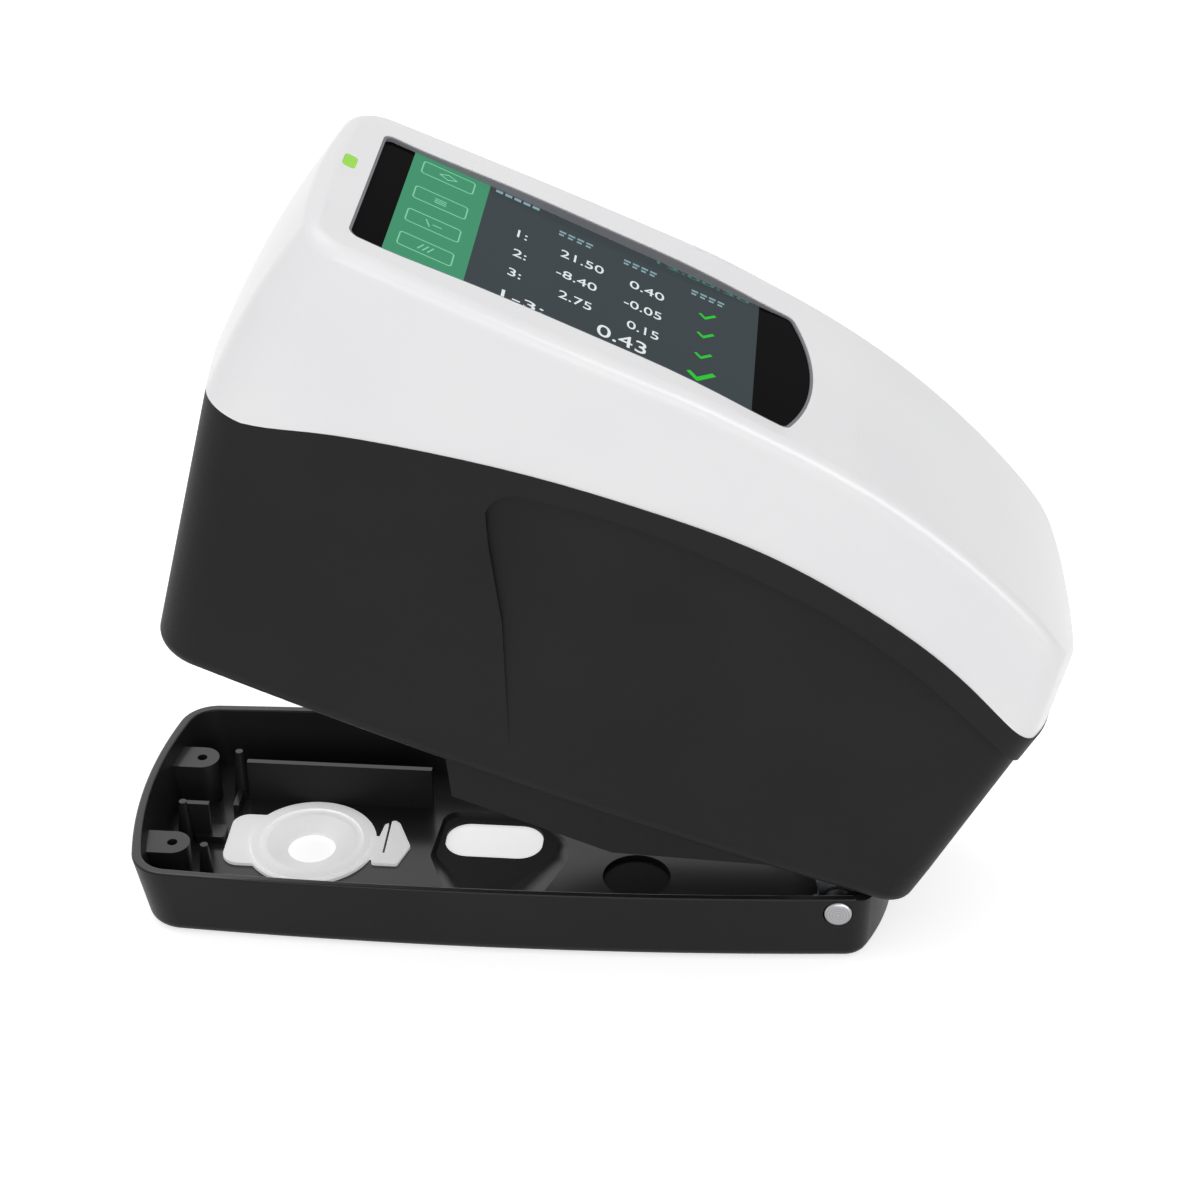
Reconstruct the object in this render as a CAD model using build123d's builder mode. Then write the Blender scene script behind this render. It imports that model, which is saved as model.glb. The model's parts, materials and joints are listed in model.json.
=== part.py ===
from build123d import *

import os
from math import cos, radians, sin, sqrt

# A colour-measuring head hinged on a shallow tray base, standing open. Millimetres.
# X runs from the front of the instrument to its hinge, Y across it and Z up.
# The origin is on the underside of the base, straight below the hinge pin.
# Head pieces are laid out in the closed head's own frame: u to the rear, y across, v up,
# measured from the hinge axis. HEAD turns that frame to the open angle.

# ---------------------------------------------------------------- driving dimensions
open_angle = 21.0
hinge_height = 13.6
fit_gap = 0.15              # between pieces that drop into each other
running_gap = 0.05          # radial, pin in bush
press_gap = 0.08            # radial, button in its hole

# base tray
tray_front = -164.2         # at the rim
tray_rear = 14.1
tray_half_width = 35.0
tray_front_half = 33.2
tray_rear_half = 30.6
tray_widest = -95.0
tray_front_bow = 4.6
tray_height = 17.6
tray_wall = 2.0
tray_floor = 1.8
tray_front_lean = 3.2       # the walls lean inwards by these much from the rim to the underside
tray_side_lean = 1.0
tray_end_rounds = (5.5, 8.0)    # front and rear bottom corners in side view
tray_corners = (9.0, 6.0)
tray_bottom_round = 2.6
tray_rim_round = 0.5
tray_cutback = 0.6          # clearance under the open head at the tray's rear rim
pillar_spot = (-154.2, 16.75)
pillar_radius = 4.1
pillar_top = 13.6
pillar_hole_radius = 1.2
pillar_hole_depth = 8.0
post_spots = [(-145.4, 18.4, 14.8), (-155.2, -1.0, 13.6), (-146.7, -17.0, 13.6)]   # x, y, top
post_radii = (2.0, 0.9)     # at the floor, at the top
rib_thickness = 1.4
cable_rib = (-143.2, -98.0, 16.8, 13.2)     # start, end, y, top
well_floor = 0.8            # the sunken floor around the tray's window
well_round = 4.0
window_hole = (-81.9, 6.3, 23.4, 13.6)      # x, y, length, width
cup_spot = (-46.8, -6.2)
cup_radius = 8.0
pad_spots = [(-146.0, 20.0), (-146.0, -20.0), (-10.0, 18.0), (-10.0, -18.0)]
pad_radius = 5.0
pad_depth = 0.8

# locator ring
port_u = -125.2             # measuring axis, in front of the hinge
ring_radius = 15.6
ring_hole_radius = 5.7
ring_spigot_radius = 11.2
ring_dish_radius = 10.6      # a cone runs down from here to the hole
ring_lip = 0.7              # height of the hole's plain wall
ring_plate = 0.8
ring_step = 0.5
ring_tab = (-145.4, 9.4)    # front end, half width
ring_clip = (-111.0, -101.4)  # root, tip

# hinge
pin_radius = 1.6
pin_head_radius = 3.2
pin_head_height = 1.9
lug_radius = 3.8
lug_inner_y = 26.9
pin_wall_y = 29.6           # where the pin head and its cap sit in the side walls
ear_radius = 4.6
ear_y = (20.0, 26.0)
bush_wall = 1.0
bracket_plate = (-15.0, 8.0, 1.8)    # front, rear, thickness
bracket_narrow = (2.0, 18.0)         # behind this u the plate is this half width
bracket_screw_spots = [(-11.0, 10.0), (-11.0, -10.0), (4.0, 10.0), (4.0, -10.0)]
spring_radius = 2.7
spring_wire_radius = 0.5
spring_pitch = 1.15
spring_turns = 4
spring_starts = (13.2, -18.3)

# head shells
head_front = -171.2         # foremost point, at the ridge of the front face
head_rear = 26.5            # rearmost point, at the seam
head_half_width = 36.0
head_taper = 0.0128         # the dark sides widen by this much per unit of height
head_bottom = 5.6           # underside above the hinge axis
head_top = 112.95           # top face at the window's front end
head_front_half = 34.0
head_rear_half = 30.5
head_widest = -105.0
head_front_bow = 2.7
head_corners = (10.0, 8.0)
rear_arc_radius = 60.0
ridge_v = 68.8              # the front face's ridge, where the shells meet
tail_v = 57.0               # the shells meet here at the rear
front_lean = 0.1155         # the dark front leans forwards with height
rear_lean = 0.142
cover_front_lean = 0.1875   # the white front leans back with height
cover_rear_lean = 0.134
cover_side_lean = 0.01
cover_bulges = [            # the white front's bulge: height, how far forwards
    (40.0, 0.0), (68.8, 0.0), (93.0, 1.5), (112.95, 0.0), (120.0, -0.8),
]
shell_wall = 2.4
head_bottom_round = 3.6
crease_round = 3.5
top_slope = 0.037
top_flat_end = -82.0
top_tail = [                # the top's side view behind its flat part: u, v
    (-66.0, 108.8), (-54.0, 107.3), (-40.0, 104.8), (-27.0, 101.5), (-12.0, 96.3), (3.0, 89.6), (11.5, 84.8),
    (20.0, 77.8), (31.0, 61.0),
]
ceiling_tail = [            # and the cover's inside
    (-40.0, 101.7), (-27.0, 98.4), (-13.0, 93.3), (1.0, 86.9), (9.3, 82.0), (17.5, 75.0), (28.0, 59.5),
]
head_nose_round = 8.5       # the front bottom corner in side view
grip_fade = 15.0            # height at which the scooped grips run out
grip_rate = 0.0435          # the grips deepen by this much per unit of height
grip_rear_share = 0.5       # and by this share of it at the rear

# window and display
window_front = -153.4
window_rear = -51.7
window_half_width = 25.0
window_bow = 5.4
window_corner = 2.5
window_recess = 1.5
seal_wall = 0.6             # rubber seal that lines the window down to the glass
seal_drop = 0.2
dish_half_width = 32.0      # a shallow dish runs from here down to the window's rim
dish_rim = [                # the dish's depth under the top along the window: u, depth
    (-159.0, 0.05), (-152.0, 0.5), (-130.0, 0.5), (-110.0, 0.55), (-90.0, 0.85), (-73.0, 1.3), (-61.0, 1.6),
    (-52.0, 1.1), (-41.0, 0.05),
]
glass_slope = 0.06
glass_size = (103.2, 53.6)
glass_thickness = 1.6
panel_size = (88.0, 52.0)
panel_centre = -104.9
panel_thickness = 4.0
bracket_size = (91.0, 63.0)
bracket_thickness = 1.2
bracket_boss_radius = 2.2
bracket_boss_spots = [(-142.0, 30.2), (-142.0, -30.2), (-66.0, 30.2), (-66.0, -30.2)]
board_size = (84.0, 56.0)
board_thickness = 1.6
spacer_height = 6.0
spacer_radius = 2.5
spacer_spots = [(-143.0, 24.0), (-143.0, -24.0), (-67.0, 24.0), (-67.0, -24.0)]
light_spot = (-158.0, 4.8)
light_size = (2.6, 5.4)

# screws that join the shells
case_screw_spots = [(-156.6, 21.0), (-156.6, -21.0), (-32.0, 25.0), (-32.0, -25.0)]
screw_tube_radius = 4.0
driver_radius = 2.5
case_boss_radius = 2.4
case_screw_radius = 1.2
case_screw_head = (2.3, 2.2)    # radius, height
case_screw_bite = 8.0
shelf_drop = 3.5            # each screw head sits this far under the seam

# measuring optics
port_radius = 4.0
nose_tip_radius = 7.0
nose_tip_v = -9.6
nose_flange_radius = 16.5
nose_flange = 2.0
nose_neck_radius = 10.8
nose_wall = 2.2
sphere_foot_v = 9.5
sphere_v = 30.0             # centre of the integrating sphere
sphere_radius = 20.0        # inside
sphere_wall = 2.6
sphere_flange = (26.5, 2.0)     # radius, thickness of each half's flange
sphere_cap_v = 52.0
lamp_ring = (7.6, 16.5)
lamp_circle = 12.0
elbow_v = 63.0
elbow_half = 7.5
tube_radius = 5.5
bore_radius = 3.5
bench_box = (-95.0, -41.0, 22.0, 50.0, 72.0)    # front, rear, half width, bottom, top
bench_wall = 2.0
bench_ear_spots = [(-89.0, 26.5), (-89.0, -26.5), (-47.0, 26.5), (-47.0, -26.5)]
bench_ear_radius = 3.4
bench_post_radius = 3.2

# battery bay under the head
bulge_front = -96.0
bulge_rear = -17.0
bulge_flat = (-90.0, -52.0)
bulge_v = -6.3
bulge_half_width = 29.0
bay_box = (-87.3, -53.7, 20.3)      # front, rear, half width
hatch_thickness = 1.3
hatch_lip = 5.0
battery_height = 14.0

# buttons on the far side, and the socket at the rear
measure_spot = (-112.0, 52.0)   # u, v
power_spot = (-136.0, 52.0)
measure_radius = 6.5
power_radius = 3.6
button_seat_y = 32.2
button_proud_y = 36.9
button_flange = (1.1, 1.2)      # overhang, thickness
button_travel = 0.8
button_board_spot = (-124.0, 52.0)
button_board_size = (40.0, 14.0)
switch_size = (6.0, 2.6)
socket_v = 27.0
socket_size = (7.4, 9.0, 3.2)   # length, width, height
socket_rear = 21.6
socket_board_box = (1.0, 18.0, 9.0)     # front, rear, half width

# ---------------------------------------------------------------- frames
turn = radians(open_angle)
HEAD = Plane(
    origin=(0, 0, hinge_height),
    x_dir=(cos(turn), 0, -sin(turn)),
    z_dir=(sin(turn), 0, cos(turn)),
)
HEAD_UP = Axis(HEAD.origin, HEAD.z_dir)

PORT = Axis(HEAD.from_local_coords((port_u, 0, 0)), HEAD.z_dir)
reach = 60.0                # further than half the width, for cuts right across
dish_clearance = 4.0        # the dish's cutter stands this far over the top face
glass_top_v = head_top - window_recess
glass_turn = (1, 0, -glass_slope)
glass_up = (glass_slope, 0, 1)
GLASS = Plane(
    origin=HEAD.from_local_coords((window_front, 0, glass_top_v)),
    x_dir=HEAD.from_local_coords(glass_turn) - HEAD.origin,
    z_dir=HEAD.from_local_coords(glass_up) - HEAD.origin,
)


def head_side(y=0.0):
    """The head's side plane at y: local x is u, local y is v, and it faces the near side."""
    return Plane(origin=HEAD.from_local_coords((0, y, 0)), x_dir=HEAD.x_dir, z_dir=(0, -1, 0))


def base_side(y=0.0):
    """The base's side plane at y: local x is x, local y is z, and it faces the near side."""
    return Plane(origin=(0, y, 0), x_dir=(1, 0, 0), z_dir=(0, -1, 0))


# ---------------------------------------------------------------- profiles
def discs(plane, spots, radius, bore=0.0):
    with BuildSketch(plane) as sketch:
        with Locations(*spots):
            Circle(radius)
            if bore > 0:
                Circle(bore, mode=Mode.SUBTRACT)
    return sketch.sketch


def panel(plane, front, rear, near, far, corner=0.0):
    """A rectangle between two x values and two y values of the plane."""
    with BuildSketch(plane) as sketch:
        with Locations(((front + rear) / 2, (near + far) / 2)):
            if corner > 0:
                RectangleRounded(rear - front, far - near, corner)
            else:
                Rectangle(rear - front, far - near)
    return sketch.sketch


def polygon(plane, points, corner=0.0):
    with BuildSketch(plane) as sketch:
        with BuildLine():
            Polyline(*points, close=True)
        make_face()
        if corner > 0:
            fillet(sketch.vertices(), corner)
    return sketch.sketch


def plan_outline(plane, front, rear, halves, widest, front_bow, rear_radius, corners):
    """A plan outline with bowed front and sides and a round rear. halves: front, widest, rear."""
    front_half, half_width, rear_half = halves
    front_x = front + front_bow
    rear_x = rear - rear_radius + sqrt(rear_radius**2 - rear_half**2)
    along = Axis(plane.origin, plane.x_dir)
    with BuildSketch(plane) as sketch:
        with BuildLine():
            ThreePointArc((front_x, -front_half), (front, 0), (front_x, front_half))
            ThreePointArc((front_x, front_half), (widest, half_width), (rear_x, rear_half))
            ThreePointArc((rear_x, rear_half), (rear, 0), (rear_x, -rear_half))
            ThreePointArc((rear_x, -rear_half), (widest, -half_width), (front_x, -front_half))
        make_face()
        fillet(sketch.vertices().sort_by(along)[:2], corners[0])
        fillet(sketch.vertices().sort_by(along)[-2:], corners[1])
    return sketch.sketch


def tray_outline(z, inset):
    """The tray's outline at height z: its walls lean inwards towards the underside."""
    depth = 1.0 - z / tray_height
    side = -tray_side_lean * depth - inset
    return plan_outline(
        Plane.XY.offset(z),
        tray_front + tray_front_lean * depth + inset,
        tray_rear + side,
        (tray_front_half + side, tray_half_width + side, tray_rear_half + side),
        tray_widest,
        tray_front_bow,
        rear_arc_radius - inset,
        (tray_corners[0] - inset, tray_corners[1] - inset),
    )


def tray_profile(bottom, inset):
    """Side view of the tray with its two round bottom corners."""
    rise = tray_height + 20.0
    front_low = tray_front + tray_front_lean * (1.0 - bottom / tray_height) + inset
    front_high = tray_front + tray_front_lean * (1.0 - rise / tray_height) + inset
    with BuildSketch(base_side()) as sketch:
        with BuildLine():
            Polyline((front_high, rise), (front_low, bottom), (tray_rear - inset, bottom), (tray_rear - inset, rise),
                     close=True)
        make_face()
        fillet(sketch.vertices().sort_by(Axis.X)[:2], tray_end_rounds[0] - inset)
        fillet(sketch.vertices().sort_by(Axis.X)[-2:], tray_end_rounds[1] - inset)
    return sketch.sketch


def grip_inset(v):
    return grip_rate * (v - grip_fade)


def shell_outline(v, inset, grip=0.0):
    """The dark shell's outline at height v. The grip inset narrows its sides and rear only."""
    side = head_taper * (v - ridge_v) - inset - grip
    return plan_outline(
        HEAD.offset(v),
        head_front - front_lean * (v - ridge_v) + inset,
        head_rear + rear_lean * (v - tail_v) - inset - grip * grip_rear_share,
        (head_front_half + side, head_half_width + side, head_rear_half + side),
        head_widest,
        head_front_bow,
        rear_arc_radius - inset,
        (head_corners[0] - inset, head_corners[1] - inset),
    )


def cover_outline(v, inset, bulge=0.0):
    """The white cover's outline at height v: its faces all lean inwards, and the front can bulge forwards."""
    side = -cover_side_lean * (v - ridge_v) - inset
    return plan_outline(
        HEAD.offset(v),
        head_front + cover_front_lean * (v - ridge_v) + inset - bulge,
        head_rear - cover_rear_lean * (v - tail_v) - inset,
        (head_front_half + side, head_half_width + side, head_rear_half + side),
        head_widest,
        head_front_bow,
        rear_arc_radius - inset,
        (head_corners[0] - inset, head_corners[1] - inset),
    )


low_v = -20.0               # below and above everything in the head
high_v = 150.0
front_u = head_front - 15.0
back_u = head_rear + 15.0


def seam_heights():
    """The seam in side view: level at the ridge, cresting over the grips, low at the tail."""
    return [
        (-160.4, ridge_v),
        (-148.6, ridge_v + 3.3),
        (-124.9, ridge_v + 9.1),
        (-101.9, ridge_v + 12.7),
        (-77.9, ridge_v + 14.4),
        (-53.1, ridge_v + 14.1),
        (-28.6, ridge_v + 9.7),
        (-8.1, ridge_v + 3.2),
        (3.7, ridge_v - 2.3),
        (16.1, tail_v + 3.2),
        (back_u, tail_v - 2.6),
    ]


def screw_shelf(u):
    """Height of the shelf that a case screw's head bears on: low at the front, under the seam's crest behind."""
    return (ridge_v if u < port_u else ridge_v + 10.0) - shelf_drop


def above_seam():
    """Side view of everything above the seam."""
    heights = seam_heights()
    with BuildSketch(head_side()) as sketch:
        with BuildLine():
            Polyline((front_u, high_v), (front_u, ridge_v), heights[0])
            Spline(*heights, tangents=[(1, 0.15), (1, -0.15)])
            Polyline(heights[-1], (back_u, high_v), (front_u, high_v))
        make_face()
    return sketch.sketch


def top_v(u):
    return head_top - top_slope * (u - window_front)


def ceiling_v(u):
    return glass_top_v - glass_slope * (u - window_front)


def below_top(drop=0.0):
    """Side view of everything under the top face: flat, then curving down to the tail."""
    bend = (top_flat_end, top_v(top_flat_end) - drop)
    tail = [(u, v - drop) for u, v in top_tail]
    with BuildSketch(head_side()) as sketch:
        with BuildLine():
            Polyline((tail[-1][0], low_v), (front_u, low_v), (front_u, top_v(front_u) - drop), bend)
            Spline(bend, *tail, tangents=[(1, -top_slope), (0.5, -1)])
            Line(tail[-1], (tail[-1][0], low_v))
        make_face()
    return sketch.sketch


def top_height(u):
    """Height of the top face at u, read straight between its named points behind the flat part."""
    if u <= top_flat_end:
        return top_v(u)
    points = [(top_flat_end, top_v(top_flat_end))] + top_tail
    for (u0, v0), (u1, v1) in zip(points, points[1:]):
        if u <= u1:
            return v0 + (v1 - v0) * (u - u0) / (u1 - u0)


def dish_block(drop=0.0):
    """Everything above the shallow dish that leads down to the window's rim."""
    sections = []
    for u, depth in dish_rim:
        level = top_height(u) - drop
        across = Plane(origin=HEAD.from_local_coords((u, 0, level)), x_dir=(0, 1, 0), z_dir=HEAD.x_dir)
        sections.append(polygon(across, [
            (-dish_half_width, 0),
            (-window_half_width, -depth),
            (window_half_width, -depth),
            (dish_half_width, 0),
            (dish_half_width, dish_clearance),
            (-dish_half_width, dish_clearance),
        ]))
    return loft(sections, mode=Mode.PRIVATE)


def below_ceiling():
    """Side view of the cover's inside: the glass plane, then a wall's depth under the tail."""
    glass_end = window_rear + 1.2
    tail_end = ceiling_tail[-1]
    with BuildSketch(head_side()) as sketch:
        with BuildLine():
            Polyline((tail_end[0], low_v), (front_u, low_v), (front_u, ceiling_v(front_u)),
                     (glass_end, ceiling_v(glass_end)), (glass_end, ceiling_v(glass_end) - glass_thickness))
            Spline((glass_end, ceiling_v(glass_end) - glass_thickness), *ceiling_tail,
                   tangents=[(1, -0.15), (0.5, -1)])
            Line(tail_end, (tail_end[0], low_v))
        make_face()
    return sketch.sketch


def head_profile(inset):
    """Side view of the dark shell, with its round front bottom corner."""
    bottom = head_bottom + inset
    front_low = head_front - front_lean * (bottom - ridge_v) + inset
    front_high = head_front - front_lean * (high_v - ridge_v) + inset
    with BuildSketch(head_side()) as sketch:
        with BuildLine():
            Polyline((front_high, high_v), (front_low, bottom), (back_u, bottom), (back_u, high_v), close=True)
        make_face()
        fillet(sketch.vertices().sort_by(Axis.X)[:2], head_nose_round - inset)
    return sketch.sketch


def grip_zone():
    """Side view of the scooped region: behind a slanting step, under a line along the seam."""
    with BuildSketch(head_side()) as sketch:
        with BuildLine():
            top = Spline(
                (-101.0, 76.2), (-75.4, 78.4), (-49.3, 76.4), (-34.2, 74.0), (-19.4, 69.9),
                (-5.5, 64.4), (14.4, 54.6), (back_u, 41.6),
            )
            ThreePointArc((-101.0, 76.2), (-106.3, 74.2), (-108.0, 69.6))
            Polyline((-108.0, 69.6), (-104.9, 62.6), (-96.0, 46.0), (-82.0, 12.0), (back_u, 12.0), top @ 1)
        make_face()
    return sketch.sketch


def bulge_profile():
    """Side view of the battery bulge under the head."""
    return polygon(head_side(), [
        (bulge_front, head_bottom + 1.0),
        (bulge_front, head_bottom),
        (bulge_flat[0], bulge_v),
        (bulge_flat[1], bulge_v),
        (bulge_rear, head_bottom),
        (bulge_rear, head_bottom + 1.0),
    ])


def window_outline(inset=0.0):
    """The window: square front corners with a small round, and a bowed rear end."""
    side_end = window_rear - window_front - window_bow - inset
    half = window_half_width - inset
    with BuildSketch(GLASS) as sketch:
        with BuildLine():
            ThreePointArc((side_end, half), (side_end + window_bow, 0), (side_end, -half))
            Polyline((side_end, -half), (inset, -half), (inset, half), (side_end, half))
        make_face()
        fillet(sketch.vertices(), window_corner - inset)
    return sketch.sketch


def glass_level(depth):
    """A plane parallel to the glass, at a depth under its top, with u along it."""
    origin = HEAD.from_local_coords((0, 0, ceiling_v(0)))
    return Plane(origin=origin, x_dir=GLASS.x_dir, z_dir=GLASS.z_dir).offset(-depth)


os.makedirs("parts", exist_ok=True)

# ---------------------------------------------------------------- base
with BuildPart() as base_tray:
    loft([tray_outline(0, 0), tray_outline(tray_height, 0)], ruled=True)
    fillet(base_tray.faces().sort_by(Axis.Z)[0].edges(), tray_bottom_round)
    extrude(tray_profile(0, 0), amount=reach, both=True, mode=Mode.INTERSECT)
    wall_core = loft([tray_outline(0, tray_wall / 2), tray_outline(tray_height, tray_wall / 2)], ruled=True,
                     mode=Mode.PRIVATE)
    cavity = loft([tray_outline(0, tray_wall), tray_outline(2 * tray_height, tray_wall)], ruled=True,
                  mode=Mode.PRIVATE)
    add(cavity & extrude(tray_profile(tray_floor, tray_wall), amount=reach, both=True, mode=Mode.PRIVATE),
        mode=Mode.SUBTRACT)
    fillet(base_tray.faces().sort_by(Axis.Z)[-1].edges(), tray_rim_round)
    # screw pillars, joined to the front wall
    pillar_x, pillar_y = pillar_spot
    for side in (-1, 1):
        extrude(discs(Plane.XY.offset(tray_floor), [(pillar_x, side * pillar_y)], pillar_radius),
                amount=pillar_top - tray_floor)
        web = extrude(panel(Plane.XY.offset(tray_floor), tray_front, pillar_x, side * pillar_y - pillar_radius,
                            side * pillar_y + pillar_radius), amount=pillar_top - tray_floor, mode=Mode.PRIVATE)
        add(web & wall_core)
    # tapered posts, a web on the middle one and the low block beside it
    for x, y, top in post_spots:
        loft([discs(Plane.XY.offset(tray_floor), [(x, y)], post_radii[0]),
              discs(Plane.XY.offset(top), [(x, y)], post_radii[1])])
    web_x, web_y, web_top = post_spots[1]
    extrude(panel(Plane.XY.offset(tray_floor), web_x, web_x + 6.0, web_y + 0.4, web_y + 0.4 + rib_thickness),
            amount=web_top - 1.0 - tray_floor)
    extrude(panel(Plane.XY.offset(tray_floor), web_x + 2.0, web_x + 9.2, web_y - 0.6, web_y + 4.4, 0.8),
            amount=2.0)
    gusset_x, gusset_y, gusset_top = post_spots[0]
    extrude(panel(Plane.XY.offset(tray_floor), gusset_x - 0.7, gusset_x + 0.7, gusset_y - 8.0, gusset_y),
            amount=2.6)
    # cable rib
    rib_start, rib_end, rib_y, rib_top = cable_rib
    extrude(panel(Plane.XY.offset(tray_floor), rib_start, rib_end, rib_y - rib_thickness / 2,
                  rib_y + rib_thickness / 2), amount=rib_top - tray_floor)
    # lugs on the side walls around the pin
    for side in (-1, 1):
        lug_plane = base_side(side * lug_inner_y)
        lug_length = pin_wall_y - lug_inner_y
        extrude(discs(lug_plane, [(0, hinge_height)], lug_radius), amount=-side * lug_length)
        extrude(panel(lug_plane, -lug_radius, lug_radius, tray_floor, hinge_height), amount=-side * lug_length)
    # bowl around the window, the window, the round cup and the ring's hole
    loft([
        polygon(Plane.XY.offset(tray_floor), [
            (-96.3, -2.2), (-94.8, 15.4), (-72.3, 15.4), (-64.3, 5.8), (-63.3, -1.2), (-70.3, -19.7), (-89.3, -19.7),
        ], well_round),
        polygon(Plane.XY.offset(well_floor), [
            (-95.3, -0.7), (-94.3, 14.6), (-72.8, 14.6), (-66.3, 6.3), (-67.3, 1.3), (-77.3, -13.7), (-86.3, -13.2),
        ], well_round),
    ], mode=Mode.SUBTRACT)
    hole_x, hole_y, hole_length, hole_width = window_hole
    extrude(panel(Plane.XY, hole_x - hole_length / 2, hole_x + hole_length / 2, hole_y - hole_width / 2,
                  hole_y + hole_width / 2, hole_width * 0.42), amount=tray_floor, mode=Mode.SUBTRACT)
    extrude(discs(Plane.XY, [(port_u, 0)], ring_spigot_radius + fit_gap), amount=tray_floor, mode=Mode.SUBTRACT)
    extrude(discs(Plane.XY.offset(well_floor), [cup_spot], cup_radius), amount=tray_floor, mode=Mode.SUBTRACT)
    # pillar holes, pin hole, seats for the pin's head and cap, pockets for the foot pads
    extrude(discs(Plane.XY.offset(pillar_top), [(pillar_x, pillar_y), (pillar_x, -pillar_y)], pillar_hole_radius),
            amount=-pillar_hole_depth, mode=Mode.SUBTRACT)
    extrude(discs(base_side(), [(0, hinge_height)], pin_radius), amount=reach, both=True, mode=Mode.SUBTRACT)
    for side in (-1, 1):
        extrude(discs(base_side(side * pin_wall_y), [(0, hinge_height)], pin_head_radius + fit_gap),
                amount=-side * reach, mode=Mode.SUBTRACT)
    extrude(discs(Plane.XY, pad_spots, pad_radius + fit_gap), amount=pad_depth, mode=Mode.SUBTRACT)
    # the rear rim is cut down along the underside of the open head
    extrude(panel(head_side(), 0, reach, head_bottom - tray_cutback, reach), amount=reach, both=True,
            mode=Mode.SUBTRACT)

base_tray.part.label = "base_tray"
export_step(base_tray.part, "parts/base_tray.step")

with BuildPart() as locator_ring:
    extrude(discs(Plane.XY, [(port_u, 0)], ring_spigot_radius), amount=tray_floor)
    extrude(discs(Plane.XY.offset(tray_floor), [(port_u, 0)], ring_radius), amount=ring_plate)
    extrude(panel(Plane.XY.offset(tray_floor), ring_tab[0], port_u, -ring_tab[1], ring_tab[1], 4.0),
            amount=ring_plate)
    extrude(panel(Plane.XY.offset(tray_floor), port_u + ring_spigot_radius, ring_clip[0] + 3.0, -5.0, 3.2),
            amount=ring_plate)
    # barbed clip that springs under the tray's window edge
    extrude(polygon(Plane.XY.offset(tray_floor), [
        (ring_clip[0] + 1.2, -7.0), (ring_clip[0] + 7.4, -7.0), (ring_clip[1], 0.2), (ring_clip[1] - 3.6, 8.6),
        (ring_clip[0] + 4.6, 9.8), (ring_clip[0] + 2.4, 7.8), (ring_clip[0] + 1.6, 2.0),
    ], 0.8), amount=ring_plate)
    extrude(panel(Plane.XY.offset(tray_floor), ring_clip[0] + 3.2, ring_clip[0] + 3.9, -3.0, 12.0),
            amount=ring_plate, mode=Mode.SUBTRACT)
    # raised edge, a cone down to the sample hole and the hole
    extrude(discs(Plane.XY.offset(tray_floor + ring_plate), [(port_u, 0)], ring_radius - 1.2, ring_radius - 3.2),
            amount=ring_step)
    loft([discs(Plane.XY.offset(ring_lip), [(port_u, 0)], ring_hole_radius),
          discs(Plane.XY.offset(tray_floor + ring_plate), [(port_u, 0)], ring_dish_radius)], mode=Mode.SUBTRACT)
    extrude(discs(Plane.XY, [(port_u, 0)], ring_hole_radius), amount=tray_height, mode=Mode.SUBTRACT)

locator_ring.part.label = "locator_ring"
export_step(locator_ring.part, "parts/locator_ring.step")

pin_end_y = pin_wall_y + 0.8
with BuildPart() as hinge_pin:
    extrude(discs(base_side(-pin_wall_y), [(0, hinge_height)], pin_radius), amount=-(pin_wall_y + pin_end_y))
    extrude(discs(base_side(-pin_wall_y), [(0, hinge_height)], pin_head_radius), amount=pin_head_height)
    fillet(hinge_pin.faces().sort_by(Axis.Y)[0].edges(), pin_head_height / 2)

hinge_pin.part.label = "hinge_pin"
export_step(hinge_pin.part, "parts/hinge_pin.step")

with BuildPart() as pin_cap:
    extrude(discs(base_side(pin_wall_y), [(0, hinge_height)], pin_head_radius), amount=-(pin_head_height - 0.3))
    extrude(discs(base_side(pin_wall_y), [(0, hinge_height)], pin_radius), amount=-0.8, mode=Mode.SUBTRACT)
    fillet(pin_cap.faces().sort_by(Axis.Y)[-1].edges(), 0.5)

pin_cap.part.label = "pin_cap"
export_step(pin_cap.part, "parts/pin_cap.step")

with BuildPart() as foot_pads:
    extrude(discs(Plane.XY, pad_spots, pad_radius), amount=pad_depth)

foot_pads.part.label = "foot_pads"
export_step(foot_pads.part, "parts/foot_pads.step")

# each spring's lower leg stands on the tray floor and its upper leg pushes the bracket plate
plate_under_v = head_bottom - bracket_plate[2]
coil_share = (180.0 - open_angle) / 360.0
coil_height = spring_pitch * (spring_turns + coil_share)
coils = [Plane(origin=(0, y, hinge_height), x_dir=(0, 0, -1), z_dir=(0, 1, 0)).location
         * Helix(spring_pitch, coil_height, spring_radius, lefthand=True) for y in spring_starts]
with BuildPart() as return_springs:
    for coil in coils:
        low_end, high_end = coil @ 0, coil @ 1
        with BuildSketch(Plane(origin=low_end, z_dir=coil % 0)):
            Circle(spring_wire_radius)
        sweep(path=coil, is_frenet=True)
        foot = Vector(-15.0, low_end.Y, tray_floor + spring_wire_radius)
        with BuildSketch(Plane(origin=low_end, z_dir=foot - low_end)):
            Circle(spring_wire_radius)
        extrude(amount=(foot - low_end).length)
        hand = HEAD.from_local_coords((-12.5, high_end.Y, plate_under_v - spring_wire_radius))
        with BuildSketch(Plane(origin=high_end, z_dir=hand - high_end)):
            Circle(spring_wire_radius)
        extrude(amount=(hand - high_end).length)
        with Locations(low_end, high_end):
            Sphere(spring_wire_radius)

return_springs.part.label = "return_springs"
export_step(return_springs.part, "parts/return_springs.step")

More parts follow.
